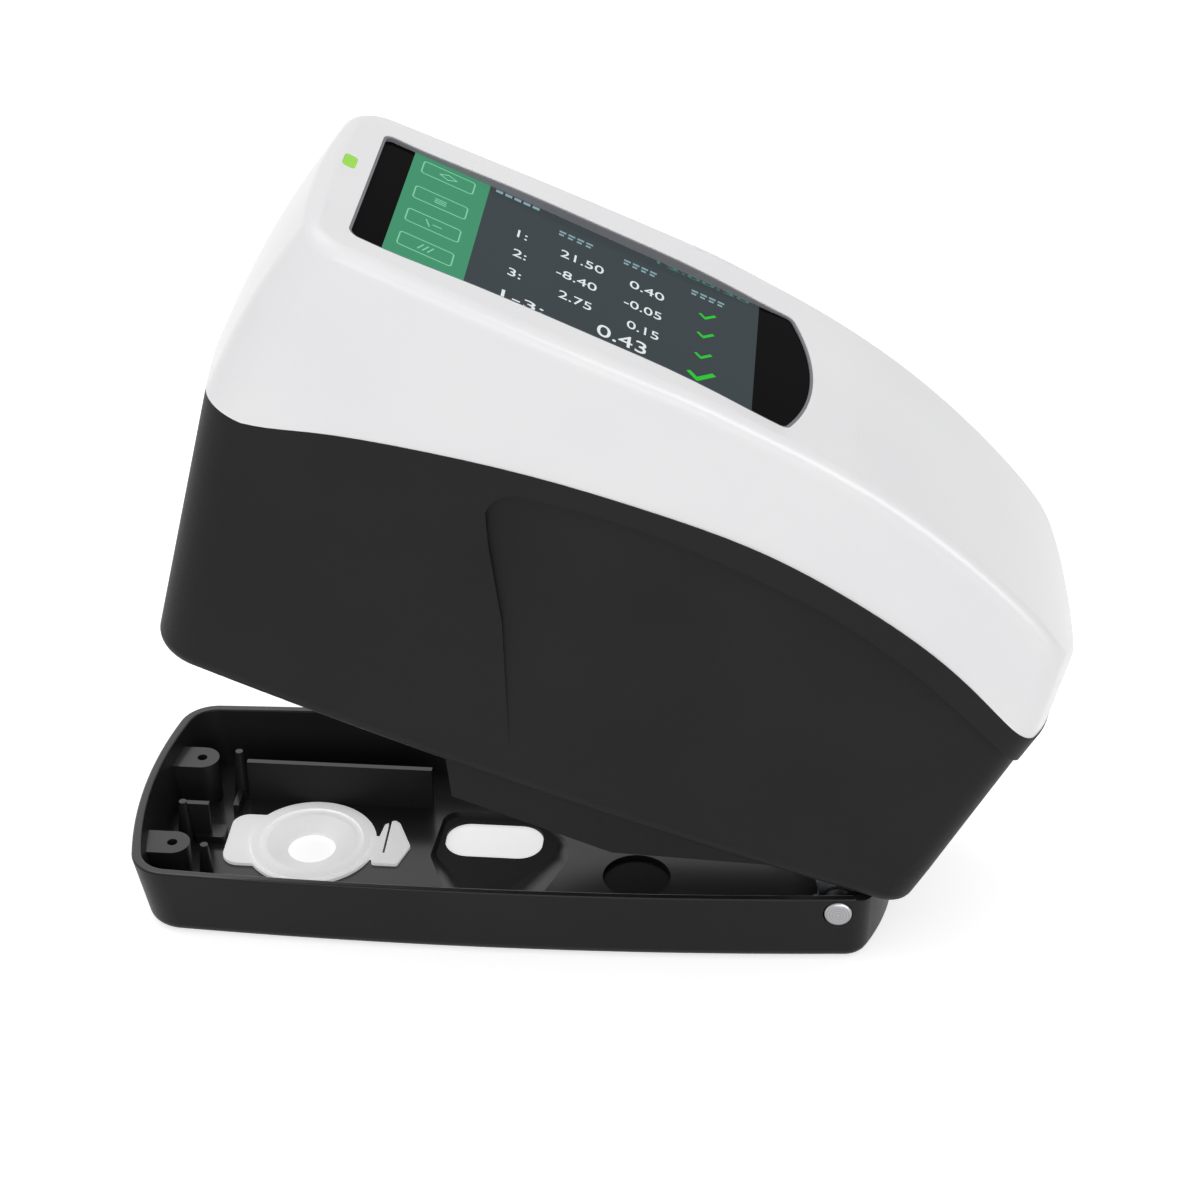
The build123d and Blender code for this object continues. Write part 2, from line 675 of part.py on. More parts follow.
# ---------------------------------------------------------------- head shells
with BuildPart() as lower_shell:
    loft([shell_outline(head_bottom, 0), shell_outline(high_v - 30, 0)], ruled=True)
    fillet(lower_shell.faces().sort_by(HEAD_UP)[0].edges(), head_bottom_round)
    extrude(head_profile(0), amount=reach, both=True, mode=Mode.INTERSECT)
    # scooped grips: whatever stands proud of a slimmer core inside the grip zone
    grip_core = loft([shell_outline(0, 0, grip_inset(0)), shell_outline(high_v - 30, 0, grip_inset(high_v - 30))],
                     ruled=True, mode=Mode.PRIVATE)
    grip_block = extrude(grip_zone(), amount=reach, both=True, mode=Mode.PRIVATE)
    add(grip_block - grip_core, mode=Mode.SUBTRACT)
    extrude(bulge_profile(), amount=bulge_half_width, both=True)
    # cavity
    floor_v = head_bottom + shell_wall
    inside = loft([shell_outline(0, shell_wall, grip_inset(0)),
                   shell_outline(high_v - 30, shell_wall, grip_inset(high_v - 30))], ruled=True, mode=Mode.PRIVATE)
    add(inside & extrude(head_profile(shell_wall), amount=reach, both=True, mode=Mode.PRIVATE), mode=Mode.SUBTRACT)
    # hollow behind the battery bay
    hollow_v = bulge_v + shell_wall + 0.3
    extrude(polygon(head_side(), [
        (bulge_flat[1] + 0.8, floor_v + 1.0), (bulge_flat[1] + 0.8, hollow_v), (bulge_rear - 1.0, floor_v),
        (bulge_rear - 1.0, floor_v + 1.0),
    ]), amount=bay_box[2], both=True, mode=Mode.SUBTRACT)
    # tubes for the case screws, posts for the optics and bosses for the hinge bracket
    extrude(discs(HEAD.offset(floor_v - 0.5), case_screw_spots, screw_tube_radius), amount=high_v - 40 - floor_v)
    extrude(discs(HEAD.offset(floor_v - 0.5), bench_ear_spots, bench_post_radius), amount=bench_box[3] - floor_v + 0.5)
    extrude(discs(HEAD.offset(floor_v - 0.5), bracket_screw_spots, 3.2), amount=6.5)
    # ring under the integrating sphere, rails for the socket board, bosses for the button board
    extrude(discs(HEAD.offset(floor_v - 0.5), [(port_u, 0)], nose_flange_radius), amount=sphere_foot_v - floor_v + 0.5)
    rail_top = socket_v - socket_size[2] / 2 - board_thickness
    for rail_y in (-6.0, 6.0):
        extrude(panel(HEAD.offset(floor_v - 0.5), socket_board_box[0] + 1.0, socket_board_box[1] - 1.0, rail_y - 1.5,
                      rail_y + 1.5), amount=rail_top - floor_v + 0.5)
    button_back_y = button_seat_y - button_flange[1]
    switch_back_y = button_back_y - 3.0 - button_travel - 0.1 - switch_size[1]
    board_u, board_v = button_board_spot
    button_boss_spots = [(board_u - 4.5, board_v + 3.5), (board_u + 3.0, board_v - 3.5)]
    extrude(discs(head_side(switch_back_y), button_boss_spots, 2.4), amount=-(button_seat_y + 1.0 - switch_back_y))
    extrude(above_seam(), amount=reach, both=True, mode=Mode.SUBTRACT)
    # case screw holes: wide for the driver up to a shelf, then clearance for the screw
    for u, y in case_screw_spots:
        shelf_v = screw_shelf(u)
        extrude(discs(HEAD.offset(low_v), [(u, y)], driver_radius), amount=shelf_v - low_v, mode=Mode.SUBTRACT)
        extrude(discs(HEAD.offset(low_v), [(u, y)], case_screw_radius + fit_gap), amount=high_v - low_v,
                mode=Mode.SUBTRACT)
    # holes for the nose and its screws, the optics screws and the bracket screws
    nose_screw_spots = [(port_u + 14.0 * cos(radians(angle)), 14.0 * sin(radians(angle))) for angle in (60, 180, 300)]
    extrude(discs(HEAD.offset(low_v), [(port_u, 0)], nose_neck_radius + fit_gap), amount=sphere_foot_v - low_v,
            mode=Mode.SUBTRACT)
    extrude(discs(HEAD.offset(low_v), nose_screw_spots, 1.2), amount=sphere_foot_v - low_v, mode=Mode.SUBTRACT)
    extrude(discs(HEAD.offset(bench_box[3]), bench_ear_spots, 1.0), amount=-9.0, mode=Mode.SUBTRACT)
    extrude(discs(HEAD.offset(head_bottom), bracket_screw_spots, 1.0), amount=7.0, mode=Mode.SUBTRACT)
    extrude(discs(head_side(switch_back_y), button_boss_spots, 0.9), amount=-6.0, mode=Mode.SUBTRACT)
    # battery bay with a rebate for its hatch
    bay_front, bay_rear, bay_half = bay_box
    extrude(panel(HEAD.offset(low_v), bay_front, bay_rear, -bay_half, bay_half), amount=floor_v + 1.0 - low_v,
            mode=Mode.SUBTRACT)
    extrude(panel(HEAD.offset(low_v), bay_front - 1.2, bay_rear + 1.2, -bay_half - hatch_lip, bay_half + hatch_lip,
                  1.5), amount=bulge_v + hatch_thickness - low_v, mode=Mode.SUBTRACT)
    hatch_screw_spots = [((bay_front + bay_rear) / 2, side * (bay_half + hatch_lip / 2)) for side in (-1, 1)]
    extrude(discs(HEAD.offset(bulge_v), hatch_screw_spots, 0.9), amount=8.0, mode=Mode.SUBTRACT)
    # button holes with flat seats inside, and the socket's slot
    extrude(discs(head_side(0), [measure_spot], measure_radius + press_gap), amount=-reach, mode=Mode.SUBTRACT)
    extrude(discs(head_side(button_seat_y), [measure_spot], measure_radius + button_flange[0] + 0.4),
            amount=button_seat_y - 16.0, mode=Mode.SUBTRACT)
    extrude(discs(head_side(0), [power_spot], power_radius + press_gap), amount=-reach, mode=Mode.SUBTRACT)
    extrude(discs(head_side(button_seat_y), [power_spot], power_radius + button_flange[0] + 0.4),
            amount=button_seat_y - 16.0, mode=Mode.SUBTRACT)
    slot_plane = Plane(origin=HEAD.from_local_coords((socket_rear - 4.0, 0, socket_v)), x_dir=(0, 1, 0),
                       z_dir=HEAD.x_dir)
    with BuildSketch(slot_plane):
        RectangleRounded(socket_size[1] + 2 * fit_gap, socket_size[2] + 2 * fit_gap, 1.2)
    extrude(amount=15.0, mode=Mode.SUBTRACT)

lower_shell.part.label = "lower_shell"
export_step(lower_shell.part, "parts/lower_shell.step")

with BuildPart() as upper_cover:
    loft([cover_outline(v, 0, bulge) for v, bulge in cover_bulges])
    extrude(below_top(), amount=reach, both=True, mode=Mode.INTERSECT)
    # soften the crease all round the top, from the front edge to the tail
    flat_top = upper_cover.faces().sort_by(HEAD_UP)[-1]
    tail_top = upper_cover.faces().sort_by(HEAD_UP)[-2]
    shared = [edge.center() for edge in flat_top.edges() for other in tail_top.edges()
              if (edge.center() - other.center()).length < 0.01]
    rim = [edge for edge in flat_top.edges() + tail_top.edges()
           if min((edge.center() - centre).length for centre in shared) > 0.01]
    fillet(rim, crease_round)
    cover_block = add(upper_cover.part, mode=Mode.PRIVATE)
    extrude(above_seam(), amount=reach, both=True, mode=Mode.INTERSECT)
    # cavity
    hollow = loft([cover_outline(40, shell_wall), cover_outline(high_v - 30, shell_wall)], ruled=True,
                  mode=Mode.PRIVATE)
    add(hollow & extrude(below_ceiling(), amount=reach, both=True, mode=Mode.PRIVATE), mode=Mode.SUBTRACT)
    # bosses for the case screws, down to the seam, and short ones for the display bracket
    bosses = extrude(discs(HEAD.offset(40), case_screw_spots, case_boss_radius), amount=high_v - 40,
                     mode=Mode.PRIVATE)
    bosses = bosses & extrude(above_seam(), amount=reach, both=True, mode=Mode.PRIVATE)
    add(bosses & extrude(below_ceiling(), amount=reach, both=True, mode=Mode.PRIVATE))
    bracket_depth = glass_thickness + panel_thickness
    extrude(discs(glass_level(bracket_depth), bracket_boss_spots, bracket_boss_radius), amount=bracket_depth + 0.5)
    # dish, window, light pipe slot and screw holes
    add(dish_block(), mode=Mode.SUBTRACT)
    extrude(window_outline(), amount=12.0, mode=Mode.SUBTRACT)
    light_u, light_y = light_spot
    light_length, light_width = light_size
    extrude(panel(HEAD.offset(ceiling_v(light_u) - 6.0), light_u - light_length / 2 - fit_gap,
                  light_u + light_length / 2 + fit_gap, light_y - light_width / 2 - fit_gap,
                  light_y + light_width / 2 + fit_gap, 1.0), amount=20.0, mode=Mode.SUBTRACT)
    for u, y in case_screw_spots:
        shelf_v = screw_shelf(u)
        extrude(discs(HEAD.offset(shelf_v), [(u, y)], case_screw_radius), amount=5.0 + case_screw_bite,
                mode=Mode.SUBTRACT)
    extrude(discs(glass_level(bracket_depth), bracket_boss_spots, 0.9), amount=4.4, mode=Mode.SUBTRACT)

upper_cover.part.label = "upper_cover"
export_step(upper_cover.part, "parts/upper_cover.step")

# ---------------------------------------------------------------- window and display
with BuildPart() as window_seal:
    extrude(window_outline(), amount=reach)
    extrude(window_outline(seal_wall), amount=reach, mode=Mode.SUBTRACT)
    extrude(below_top(seal_drop), amount=reach, both=True, mode=Mode.INTERSECT)
    add(dish_block(seal_drop), mode=Mode.SUBTRACT)

window_seal.part.label = "window_seal"
export_step(window_seal.part, "parts/window_seal.step")

glass_front, glass_rear = window_front - 0.9, window_front - 0.9 + glass_size[0]
with BuildPart() as touch_glass:
    extrude(panel(glass_level(0), glass_front, glass_rear, -glass_size[1] / 2, glass_size[1] / 2, 2.0),
            amount=-glass_thickness)

touch_glass.part.label = "touch_glass"
export_step(touch_glass.part, "parts/touch_glass.step")

panel_front = panel_centre - panel_size[0] / 2
panel_rear = panel_centre + panel_size[0] / 2
with BuildPart() as display_panel:
    extrude(panel(glass_level(glass_thickness), panel_front, panel_rear, -panel_size[1] / 2, panel_size[1] / 2, 1.0),
            amount=-panel_thickness)

display_panel.part.label = "display_panel"
export_step(display_panel.part, "parts/display_panel.step")

bracket_u = (bracket_boss_spots[0][0] + bracket_boss_spots[2][0]) / 2
with BuildPart() as display_bracket:
    extrude(panel(glass_level(bracket_depth), bracket_u - bracket_size[0] / 2, bracket_u + bracket_size[0] / 2,
                  -bracket_size[1] / 2, bracket_size[1] / 2, 3.0), amount=-bracket_thickness)
    extrude(panel(glass_level(bracket_depth), bracket_u - 30.0, bracket_u + 30.0, -16.0, 16.0, 4.0),
            amount=-bracket_thickness, mode=Mode.SUBTRACT)
    extrude(discs(glass_level(bracket_depth), bracket_boss_spots, 1.1), amount=-bracket_thickness,
            mode=Mode.SUBTRACT)
    extrude(discs(glass_level(bracket_depth), spacer_spots, 1.1), amount=-bracket_thickness, mode=Mode.SUBTRACT)

display_bracket.part.label = "display_bracket"
export_step(display_bracket.part, "parts/display_bracket.step")

under_bracket = bracket_depth + bracket_thickness
with BuildPart() as display_screws:
    extrude(discs(glass_level(under_bracket), bracket_boss_spots, 1.7), amount=-1.2)
    extrude(discs(glass_level(under_bracket), bracket_boss_spots, 0.9), amount=bracket_thickness + 3.8)

display_screws.part.label = "display_screws"
export_step(display_screws.part, "parts/display_screws.step")

with BuildPart() as board_spacers:
    extrude(discs(glass_level(under_bracket), spacer_spots, spacer_radius, 0.9), amount=-spacer_height)

board_spacers.part.label = "board_spacers"
export_step(board_spacers.part, "parts/board_spacers.step")

board_depth = under_bracket + spacer_height
board_u = (spacer_spots[0][0] + spacer_spots[2][0]) / 2
with BuildPart() as main_board:
    extrude(panel(glass_level(board_depth), board_u - board_size[0] / 2, board_u + board_size[0] / 2,
                  -board_size[1] / 2, board_size[1] / 2, 1.5), amount=-board_thickness)
    extrude(discs(glass_level(board_depth), spacer_spots, 1.1), amount=-board_thickness, mode=Mode.SUBTRACT)

main_board.part.label = "main_board"
export_step(main_board.part, "parts/main_board.step")

under_board = board_depth + board_thickness
with BuildPart() as board_screws:
    extrude(discs(glass_level(under_board), spacer_spots, 1.8), amount=-1.2)
    extrude(discs(glass_level(under_board), spacer_spots, 0.9), amount=board_thickness + 4.0)

board_screws.part.label = "board_screws"
export_step(board_screws.part, "parts/board_screws.step")

with BuildPart() as processor_can:
    extrude(panel(glass_level(under_board), -118.0, -90.0, -4.0, 20.0, 1.0), amount=-3.0)

processor_can.part.label = "processor_can"
export_step(processor_can.part, "parts/processor_can.step")

with BuildPart() as sounder:
    extrude(discs(glass_level(under_board), [(-76.0, -12.0)], 6.0), amount=-4.0)
    extrude(discs(glass_level(under_board + 4.0), [(-76.0, -12.0)], 1.0), amount=1.5, mode=Mode.SUBTRACT)

sounder.part.label = "sounder"
export_step(sounder.part, "parts/sounder.step")

# the light pipe fills its slot and is trimmed to the cover's outer face, with a flange inside
with BuildPart() as status_light:
    extrude(panel(HEAD.offset(ceiling_v(light_u) - 4.0), light_u - light_length / 2, light_u + light_length / 2,
                  light_y - light_width / 2, light_y + light_width / 2, 0.9), amount=20.0)
    add(cover_block, mode=Mode.INTERSECT)
    add(dish_block(), mode=Mode.SUBTRACT)
    extrude(panel(glass_level(0), light_u - light_length / 2 - 0.8, light_u + light_length / 2 + 0.8,
                  light_y - light_width / 2 - 1.0, light_y + light_width / 2 + 1.0, 1.2), amount=-1.2)

status_light.part.label = "status_light"
export_step(status_light.part, "parts/status_light.step")

# ---------------------------------------------------------------- screws and hinge bracket
with BuildPart() as case_screws:
    for u, y in case_screw_spots:
        shelf_v = screw_shelf(u)
        extrude(discs(HEAD.offset(shelf_v), [(u, y)], case_screw_head[0]), amount=-case_screw_head[1])
        extrude(discs(HEAD.offset(shelf_v), [(u, y)], case_screw_radius), amount=4.0 + case_screw_bite)

case_screws.part.label = "case_screws"
export_step(case_screws.part, "parts/case_screws.step")

plate_front, plate_rear, plate_thickness = bracket_plate
with BuildPart() as hinge_bracket:
    extrude(panel(HEAD.offset(plate_under_v), plate_front, bracket_narrow[0], -ear_y[1], ear_y[1], 1.0),
            amount=plate_thickness)
    extrude(panel(HEAD.offset(plate_under_v), bracket_narrow[0] - 3.0, plate_rear, -bracket_narrow[1],
                  bracket_narrow[1], 1.0), amount=plate_thickness)
    for side in (-1, 1):
        ear_plane = head_side(side * ear_y[0])
        extrude(discs(ear_plane, [(0, 0)], ear_radius), amount=-side * (ear_y[1] - ear_y[0]))
        extrude(polygon(ear_plane, [
            (-ear_radius, 0), (ear_radius - 1.0, 0), (bracket_narrow[0] - 0.5, plate_under_v + 0.5),
            (-ear_radius - 3.0, plate_under_v + 0.5),
        ]), amount=-side * (ear_y[1] - ear_y[0]))
    extrude(discs(head_side(), [(0, 0)], pin_radius + running_gap + bush_wall), amount=reach, both=True,
            mode=Mode.SUBTRACT)
    extrude(discs(HEAD.offset(plate_under_v), bracket_screw_spots, 1.2), amount=plate_thickness, mode=Mode.SUBTRACT)
    extrude(discs(HEAD.offset(plate_under_v), bracket_screw_spots, 2.2), amount=1.1, mode=Mode.SUBTRACT)

hinge_bracket.part.label = "hinge_bracket"
export_step(hinge_bracket.part, "parts/hinge_bracket.step")

with BuildPart() as hinge_bushes:
    for side in (-1, 1):
        extrude(discs(head_side(side * ear_y[0]), [(0, 0)], pin_radius + running_gap + bush_wall),
                amount=-side * (ear_y[1] - ear_y[0]))
        extrude(discs(head_side(side * ear_y[1]), [(0, 0)], ear_radius - 0.6), amount=-side * 0.6)
    extrude(discs(head_side(), [(0, 0)], pin_radius + running_gap), amount=reach, both=True, mode=Mode.SUBTRACT)

hinge_bushes.part.label = "hinge_bushes"
export_step(hinge_bushes.part, "parts/hinge_bushes.step")

with BuildPart() as bracket_screws:
    extrude(discs(HEAD.offset(plate_under_v + 1.1), bracket_screw_spots, 2.0), amount=-1.1)
    extrude(discs(HEAD.offset(plate_under_v + 1.1), bracket_screw_spots, 1.0), amount=7.0)

bracket_screws.part.label = "bracket_screws"
export_step(bracket_screws.part, "parts/bracket_screws.step")

# ---------------------------------------------------------------- measuring optics
flange_v = head_bottom - nose_flange
with BuildPart() as aperture_nose:
    with BuildSketch(head_side()):
        with BuildLine():
            Polyline(
                (port_u + port_radius, nose_tip_v),
                (port_u + nose_tip_radius, nose_tip_v),
                (port_u + nose_tip_radius + 0.8, nose_tip_v + 0.8),
                (port_u + nose_neck_radius, flange_v),
                (port_u + nose_flange_radius, flange_v),
                (port_u + nose_flange_radius, head_bottom),
                (port_u + nose_neck_radius, head_bottom),
                (port_u + nose_neck_radius, sphere_foot_v),
                (port_u + nose_neck_radius - nose_wall, sphere_foot_v),
                (port_u + port_radius, nose_tip_v + 1.6),
                close=True,
            )
        make_face()
    revolve(axis=PORT)
    extrude(discs(HEAD.offset(flange_v), nose_screw_spots, 1.2), amount=nose_flange, mode=Mode.SUBTRACT)
    extrude(discs(HEAD.offset(flange_v), nose_screw_spots, 2.1), amount=1.2, mode=Mode.SUBTRACT)

aperture_nose.part.label = "aperture_nose"
export_step(aperture_nose.part, "parts/aperture_nose.step")

with BuildPart() as nose_screws:
    extrude(discs(HEAD.offset(flange_v + 1.2), nose_screw_spots, 1.9), amount=-1.2)
    extrude(discs(HEAD.offset(flange_v + 1.2), nose_screw_spots, 1.0), amount=sphere_foot_v - flange_v + 1.8)

nose_screws.part.label = "nose_screws"
export_step(nose_screws.part, "parts/nose_screws.step")

flange_radius, flange_thickness = sphere_flange
outer_radius = sphere_radius + sphere_wall
sphere_screw_spots = [(port_u + 24.4 * x, 24.4 * y) for x, y in ((0.707, 0.707), (0.707, -0.707), (-0.707, 0.707),
                                                                  (-0.707, -0.707))]
cavity_port = nose_neck_radius - nose_wall
ball_centre = Plane(origin=HEAD.from_local_coords((port_u, 0, sphere_v)), x_dir=HEAD.x_dir, z_dir=HEAD.z_dir)
with BuildPart() as sphere_lower:
    extrude(discs(HEAD.offset(sphere_foot_v), [(port_u, 0)], nose_flange_radius), amount=8.0)
    ball = discs(ball_centre, [(0, 0)], outer_radius)
    add(extrude(ball, amount=-(sphere_v - sphere_foot_v), mode=Mode.PRIVATE)
        & ball_centre.location * Sphere(outer_radius, mode=Mode.PRIVATE))
    extrude(discs(HEAD.offset(sphere_v - flange_thickness), [(port_u, 0)], flange_radius), amount=flange_thickness)
    add(ball_centre.location * Sphere(sphere_radius, mode=Mode.PRIVATE), mode=Mode.SUBTRACT)
    extrude(discs(HEAD.offset(sphere_foot_v), [(port_u, 0)], cavity_port), amount=6.0, mode=Mode.SUBTRACT)
    extrude(discs(HEAD.offset(sphere_foot_v), nose_screw_spots, 1.0), amount=3.2, mode=Mode.SUBTRACT)
    extrude(discs(HEAD.offset(sphere_v), sphere_screw_spots, 0.9), amount=-6.0, mode=Mode.SUBTRACT)

sphere_lower.part.label = "sphere_lower"
export_step(sphere_lower.part, "parts/sphere_lower.step")

lamp_spots = [(port_u + lamp_circle * cos(radians(60 * step)), lamp_circle * sin(radians(60 * step)))
              for step in range(6)]
with BuildPart() as sphere_upper:
    add(extrude(ball, amount=outer_radius, mode=Mode.PRIVATE)
        & ball_centre.location * Sphere(outer_radius, mode=Mode.PRIVATE))
    extrude(discs(HEAD.offset(sphere_v + 12.0), [(port_u, 0)], lamp_ring[1]), amount=sphere_cap_v - sphere_v - 12.0)
    extrude(discs(HEAD.offset(sphere_v), [(port_u, 0)], flange_radius), amount=flange_thickness)
    add(ball_centre.location * Sphere(sphere_radius, mode=Mode.PRIVATE), mode=Mode.SUBTRACT)
    extrude(discs(HEAD.offset(sphere_cap_v), [(port_u, 0)], 12.0), amount=10.0, mode=Mode.SUBTRACT)
    extrude(discs(HEAD.offset(sphere_cap_v), [(port_u, 0)], bore_radius), amount=-10.0, mode=Mode.SUBTRACT)
    extrude(discs(HEAD.offset(sphere_cap_v), lamp_spots, 2.3), amount=-10.0, mode=Mode.SUBTRACT)
    extrude(discs(HEAD.offset(sphere_v + flange_thickness), sphere_screw_spots, 1.1), amount=-flange_thickness,
            mode=Mode.SUBTRACT)

sphere_upper.part.label = "sphere_upper"
export_step(sphere_upper.part, "parts/sphere_upper.step")

with BuildPart() as sphere_screws:
    extrude(discs(HEAD.offset(sphere_v + flange_thickness), sphere_screw_spots, 1.8), amount=1.2)
    extrude(discs(HEAD.offset(sphere_v + flange_thickness), sphere_screw_spots, 0.9),
            amount=-2 * flange_thickness - 0.5)

sphere_screws.part.label = "sphere_screws"
export_step(sphere_screws.part, "parts/sphere_screws.step")

with BuildPart() as lamp_board:
    extrude(discs(HEAD.offset(sphere_cap_v), [(port_u, 0)], lamp_ring[1], lamp_ring[0]), amount=board_thickness)

lamp_board.part.label = "lamp_board"
export_step(lamp_board.part, "parts/lamp_board.step")

with BuildPart() as lamps:
    with BuildSketch(HEAD.offset(sphere_cap_v)):
        with Locations(*lamp_spots):
            Rectangle(2.8, 2.8)
    extrude(amount=-1.4)

lamps.part.label = "lamps"
export_step(lamps.part, "parts/lamps.step")

bench_front, bench_rear, bench_half, bench_low, bench_high = bench_box
elbow_u = port_u
with BuildPart() as viewing_tube:
    extrude(discs(HEAD.offset(sphere_cap_v), [(port_u, 0)], lamp_ring[0] - 0.4), amount=elbow_v - 2.0 - sphere_cap_v)
    extrude(polygon(head_side(), [
        (elbow_u - elbow_half, elbow_v - elbow_half),
        (elbow_u + elbow_half, elbow_v - elbow_half),
        (elbow_u + elbow_half, elbow_v + elbow_half),
    ]), amount=elbow_half, both=True)
    mouth_plane = Plane(origin=HEAD.from_local_coords((elbow_u + 1.0, 0, elbow_v)), x_dir=(0, 1, 0), z_dir=HEAD.x_dir)
    extrude(discs(mouth_plane, [(0, 0)], tube_radius), amount=bench_front - elbow_u - 1.0)
    half_space = polygon(head_side(), [
        (elbow_u - 20, elbow_v - 20), (elbow_u + 20, elbow_v + 20), (elbow_u - 20, elbow_v + 20),
    ])
    extrude(half_space, amount=reach, both=True, mode=Mode.SUBTRACT)
    extrude(discs(HEAD.offset(sphere_cap_v), [(port_u, 0)], bore_radius), amount=40.0, mode=Mode.SUBTRACT)
    extrude(discs(mouth_plane.offset(-1.0), [(0, 0)], bore_radius), amount=40.0, mode=Mode.SUBTRACT)

viewing_tube.part.label = "viewing_tube"
export_step(viewing_tube.part, "parts/viewing_tube.step")

mirror_centre = HEAD.from_local_coords((elbow_u, 0, elbow_v))
mirror_up = HEAD.from_local_coords((-1, 0, 1)) - HEAD.origin
with BuildPart() as fold_mirror:
    with BuildSketch(Plane(origin=mirror_centre, x_dir=(0, 1, 0), z_dir=mirror_up)):
        Rectangle(2 * elbow_half - 3.0, 2 * elbow_half * 1.2)
    extrude(amount=1.2)

fold_mirror.part.label = "fold_mirror"
export_step(fold_mirror.part, "parts/fold_mirror.step")

with BuildPart() as optics_bench:
    extrude(panel(HEAD.offset(bench_low), bench_front, bench_rear, -bench_half, bench_half, 2.0),
            amount=bench_high - bench_low)
    extrude(discs(HEAD.offset(bench_low), bench_ear_spots, bench_ear_radius), amount=2.5)
    for u, y in bench_ear_spots:
        extrude(panel(HEAD.offset(bench_low), u - bench_ear_radius, u + bench_ear_radius, min(y, 0.5 * y),
                      max(y, 0.5 * y)), amount=2.5)
    extrude(panel(HEAD.offset(bench_low + 2.5), bench_front + bench_wall, bench_rear - bench_wall,
                  -bench_half + bench_wall, bench_half - bench_wall, 1.0), amount=bench_high, mode=Mode.SUBTRACT)
    extrude(discs(mouth_plane, [(0, 0)], bore_radius), amount=bench_front + 10.0 - elbow_u, mode=Mode.SUBTRACT)
    extrude(discs(HEAD.offset(bench_low), bench_ear_spots, 1.2), amount=2.5, mode=Mode.SUBTRACT)

optics_bench.part.label = "optics_bench"
export_step(optics_bench.part, "parts/optics_bench.step")

with BuildPart() as optics_lid:
    extrude(panel(HEAD.offset(bench_high), bench_front, bench_rear, -bench_half, bench_half, 2.0), amount=1.6)

optics_lid.part.label = "optics_lid"
export_step(optics_lid.part, "parts/optics_lid.step")

with BuildPart() as bench_screws:
    extrude(discs(HEAD.offset(bench_low + 2.5), bench_ear_spots, 1.9), amount=1.4)
    extrude(discs(HEAD.offset(bench_low + 2.5), bench_ear_spots, 1.0), amount=-9.0)

bench_screws.part.label = "bench_screws"
export_step(bench_screws.part, "parts/bench_screws.step")

grating_rear = bench_rear - bench_wall
with BuildPart() as grating:
    extrude(panel(HEAD.offset(bench_low + 2.5), grating_rear - 5.0, grating_rear, -9.0, 9.0), amount=17.0)
    dish = Plane(origin=HEAD.from_local_coords((grating_rear - 5.0 - 38.5, 0, elbow_v)), x_dir=HEAD.x_dir,
                 z_dir=HEAD.z_dir)
    add(dish.location * Cylinder(40.0, 60.0, mode=Mode.PRIVATE), mode=Mode.SUBTRACT)

grating.part.label = "grating"
export_step(grating.part, "parts/grating.step")

sensor_front = bench_front + bench_wall
with BuildPart() as sensor_board:
    extrude(panel(HEAD.offset(bench_low + 2.5), sensor_front, sensor_front + board_thickness, 5.0, 19.0),
            amount=16.0)

sensor_board.part.label = "sensor_board"
export_step(sensor_board.part, "parts/sensor_board.step")

with BuildPart() as line_sensor:
    extrude(panel(HEAD.offset(bench_low + 9.0), sensor_front + board_thickness, sensor_front + board_thickness + 2.0,
                  6.5, 17.5), amount=4.0)

line_sensor.part.label = "line_sensor"
export_step(line_sensor.part, "parts/line_sensor.step")

# ---------------------------------------------------------------- battery
hatch_v = bulge_v + hatch_thickness
with BuildPart() as battery_pack:
    extrude(panel(HEAD.offset(hatch_v), bay_front + 0.4, bay_rear - 0.4, -bay_half + 0.4, bay_half - 0.4, 2.5),
            amount=battery_height)

battery_pack.part.label = "battery_pack"
export_step(battery_pack.part, "parts/battery_pack.step")

with BuildPart() as battery_hatch:
    extrude(panel(HEAD.offset(bulge_v), bay_front - 1.2 + fit_gap, bay_rear + 1.2 - fit_gap,
                  -bay_half - hatch_lip + fit_gap, bay_half + hatch_lip - fit_gap, 1.4), amount=hatch_thickness)
    extrude(discs(HEAD.offset(bulge_v), hatch_screw_spots, 1.1), amount=hatch_thickness, mode=Mode.SUBTRACT)
    extrude(discs(HEAD.offset(bulge_v), hatch_screw_spots, 1.9), amount=0.7, mode=Mode.SUBTRACT)

battery_hatch.part.label = "battery_hatch"
export_step(battery_hatch.part, "parts/battery_hatch.step")

with BuildPart() as hatch_screws:
    extrude(discs(HEAD.offset(bulge_v + 0.7), hatch_screw_spots, 1.8), amount=-0.7)
    extrude(discs(HEAD.offset(bulge_v + 0.7), hatch_screw_spots, 0.9), amount=5.6)

hatch_screws.part.label = "hatch_screws"
export_step(hatch_screws.part, "parts/hatch_screws.step")

# ---------------------------------------------------------------- buttons and socket
overhang, flange_depth = button_flange
with BuildPart() as measure_button:
    extrude(discs(head_side(button_back_y), [measure_spot], measure_radius), amount=-(button_proud_y - button_back_y))
    fillet(measure_button.faces().sort_by(Axis.Y)[-1].edges(), 0.7)
    extrude(discs(head_side(button_back_y), [measure_spot], measure_radius + overhang), amount=-flange_depth)
    extrude(discs(head_side(button_back_y), [measure_spot], 1.8), amount=3.0)

measure_button.part.label = "measure_button"
export_step(measure_button.part, "parts/measure_button.step")

with BuildPart() as power_button:
    extrude(discs(head_side(button_back_y), [power_spot], power_radius), amount=-(button_proud_y - button_back_y))
    fillet(power_button.faces().sort_by(Axis.Y)[-1].edges(), 0.7)
    extrude(discs(head_side(button_back_y), [power_spot], power_radius + overhang), amount=-flange_depth)
    extrude(discs(head_side(button_back_y), [power_spot], 1.8), amount=3.0)

power_button.part.label = "power_button"
export_step(power_button.part, "parts/power_button.step")

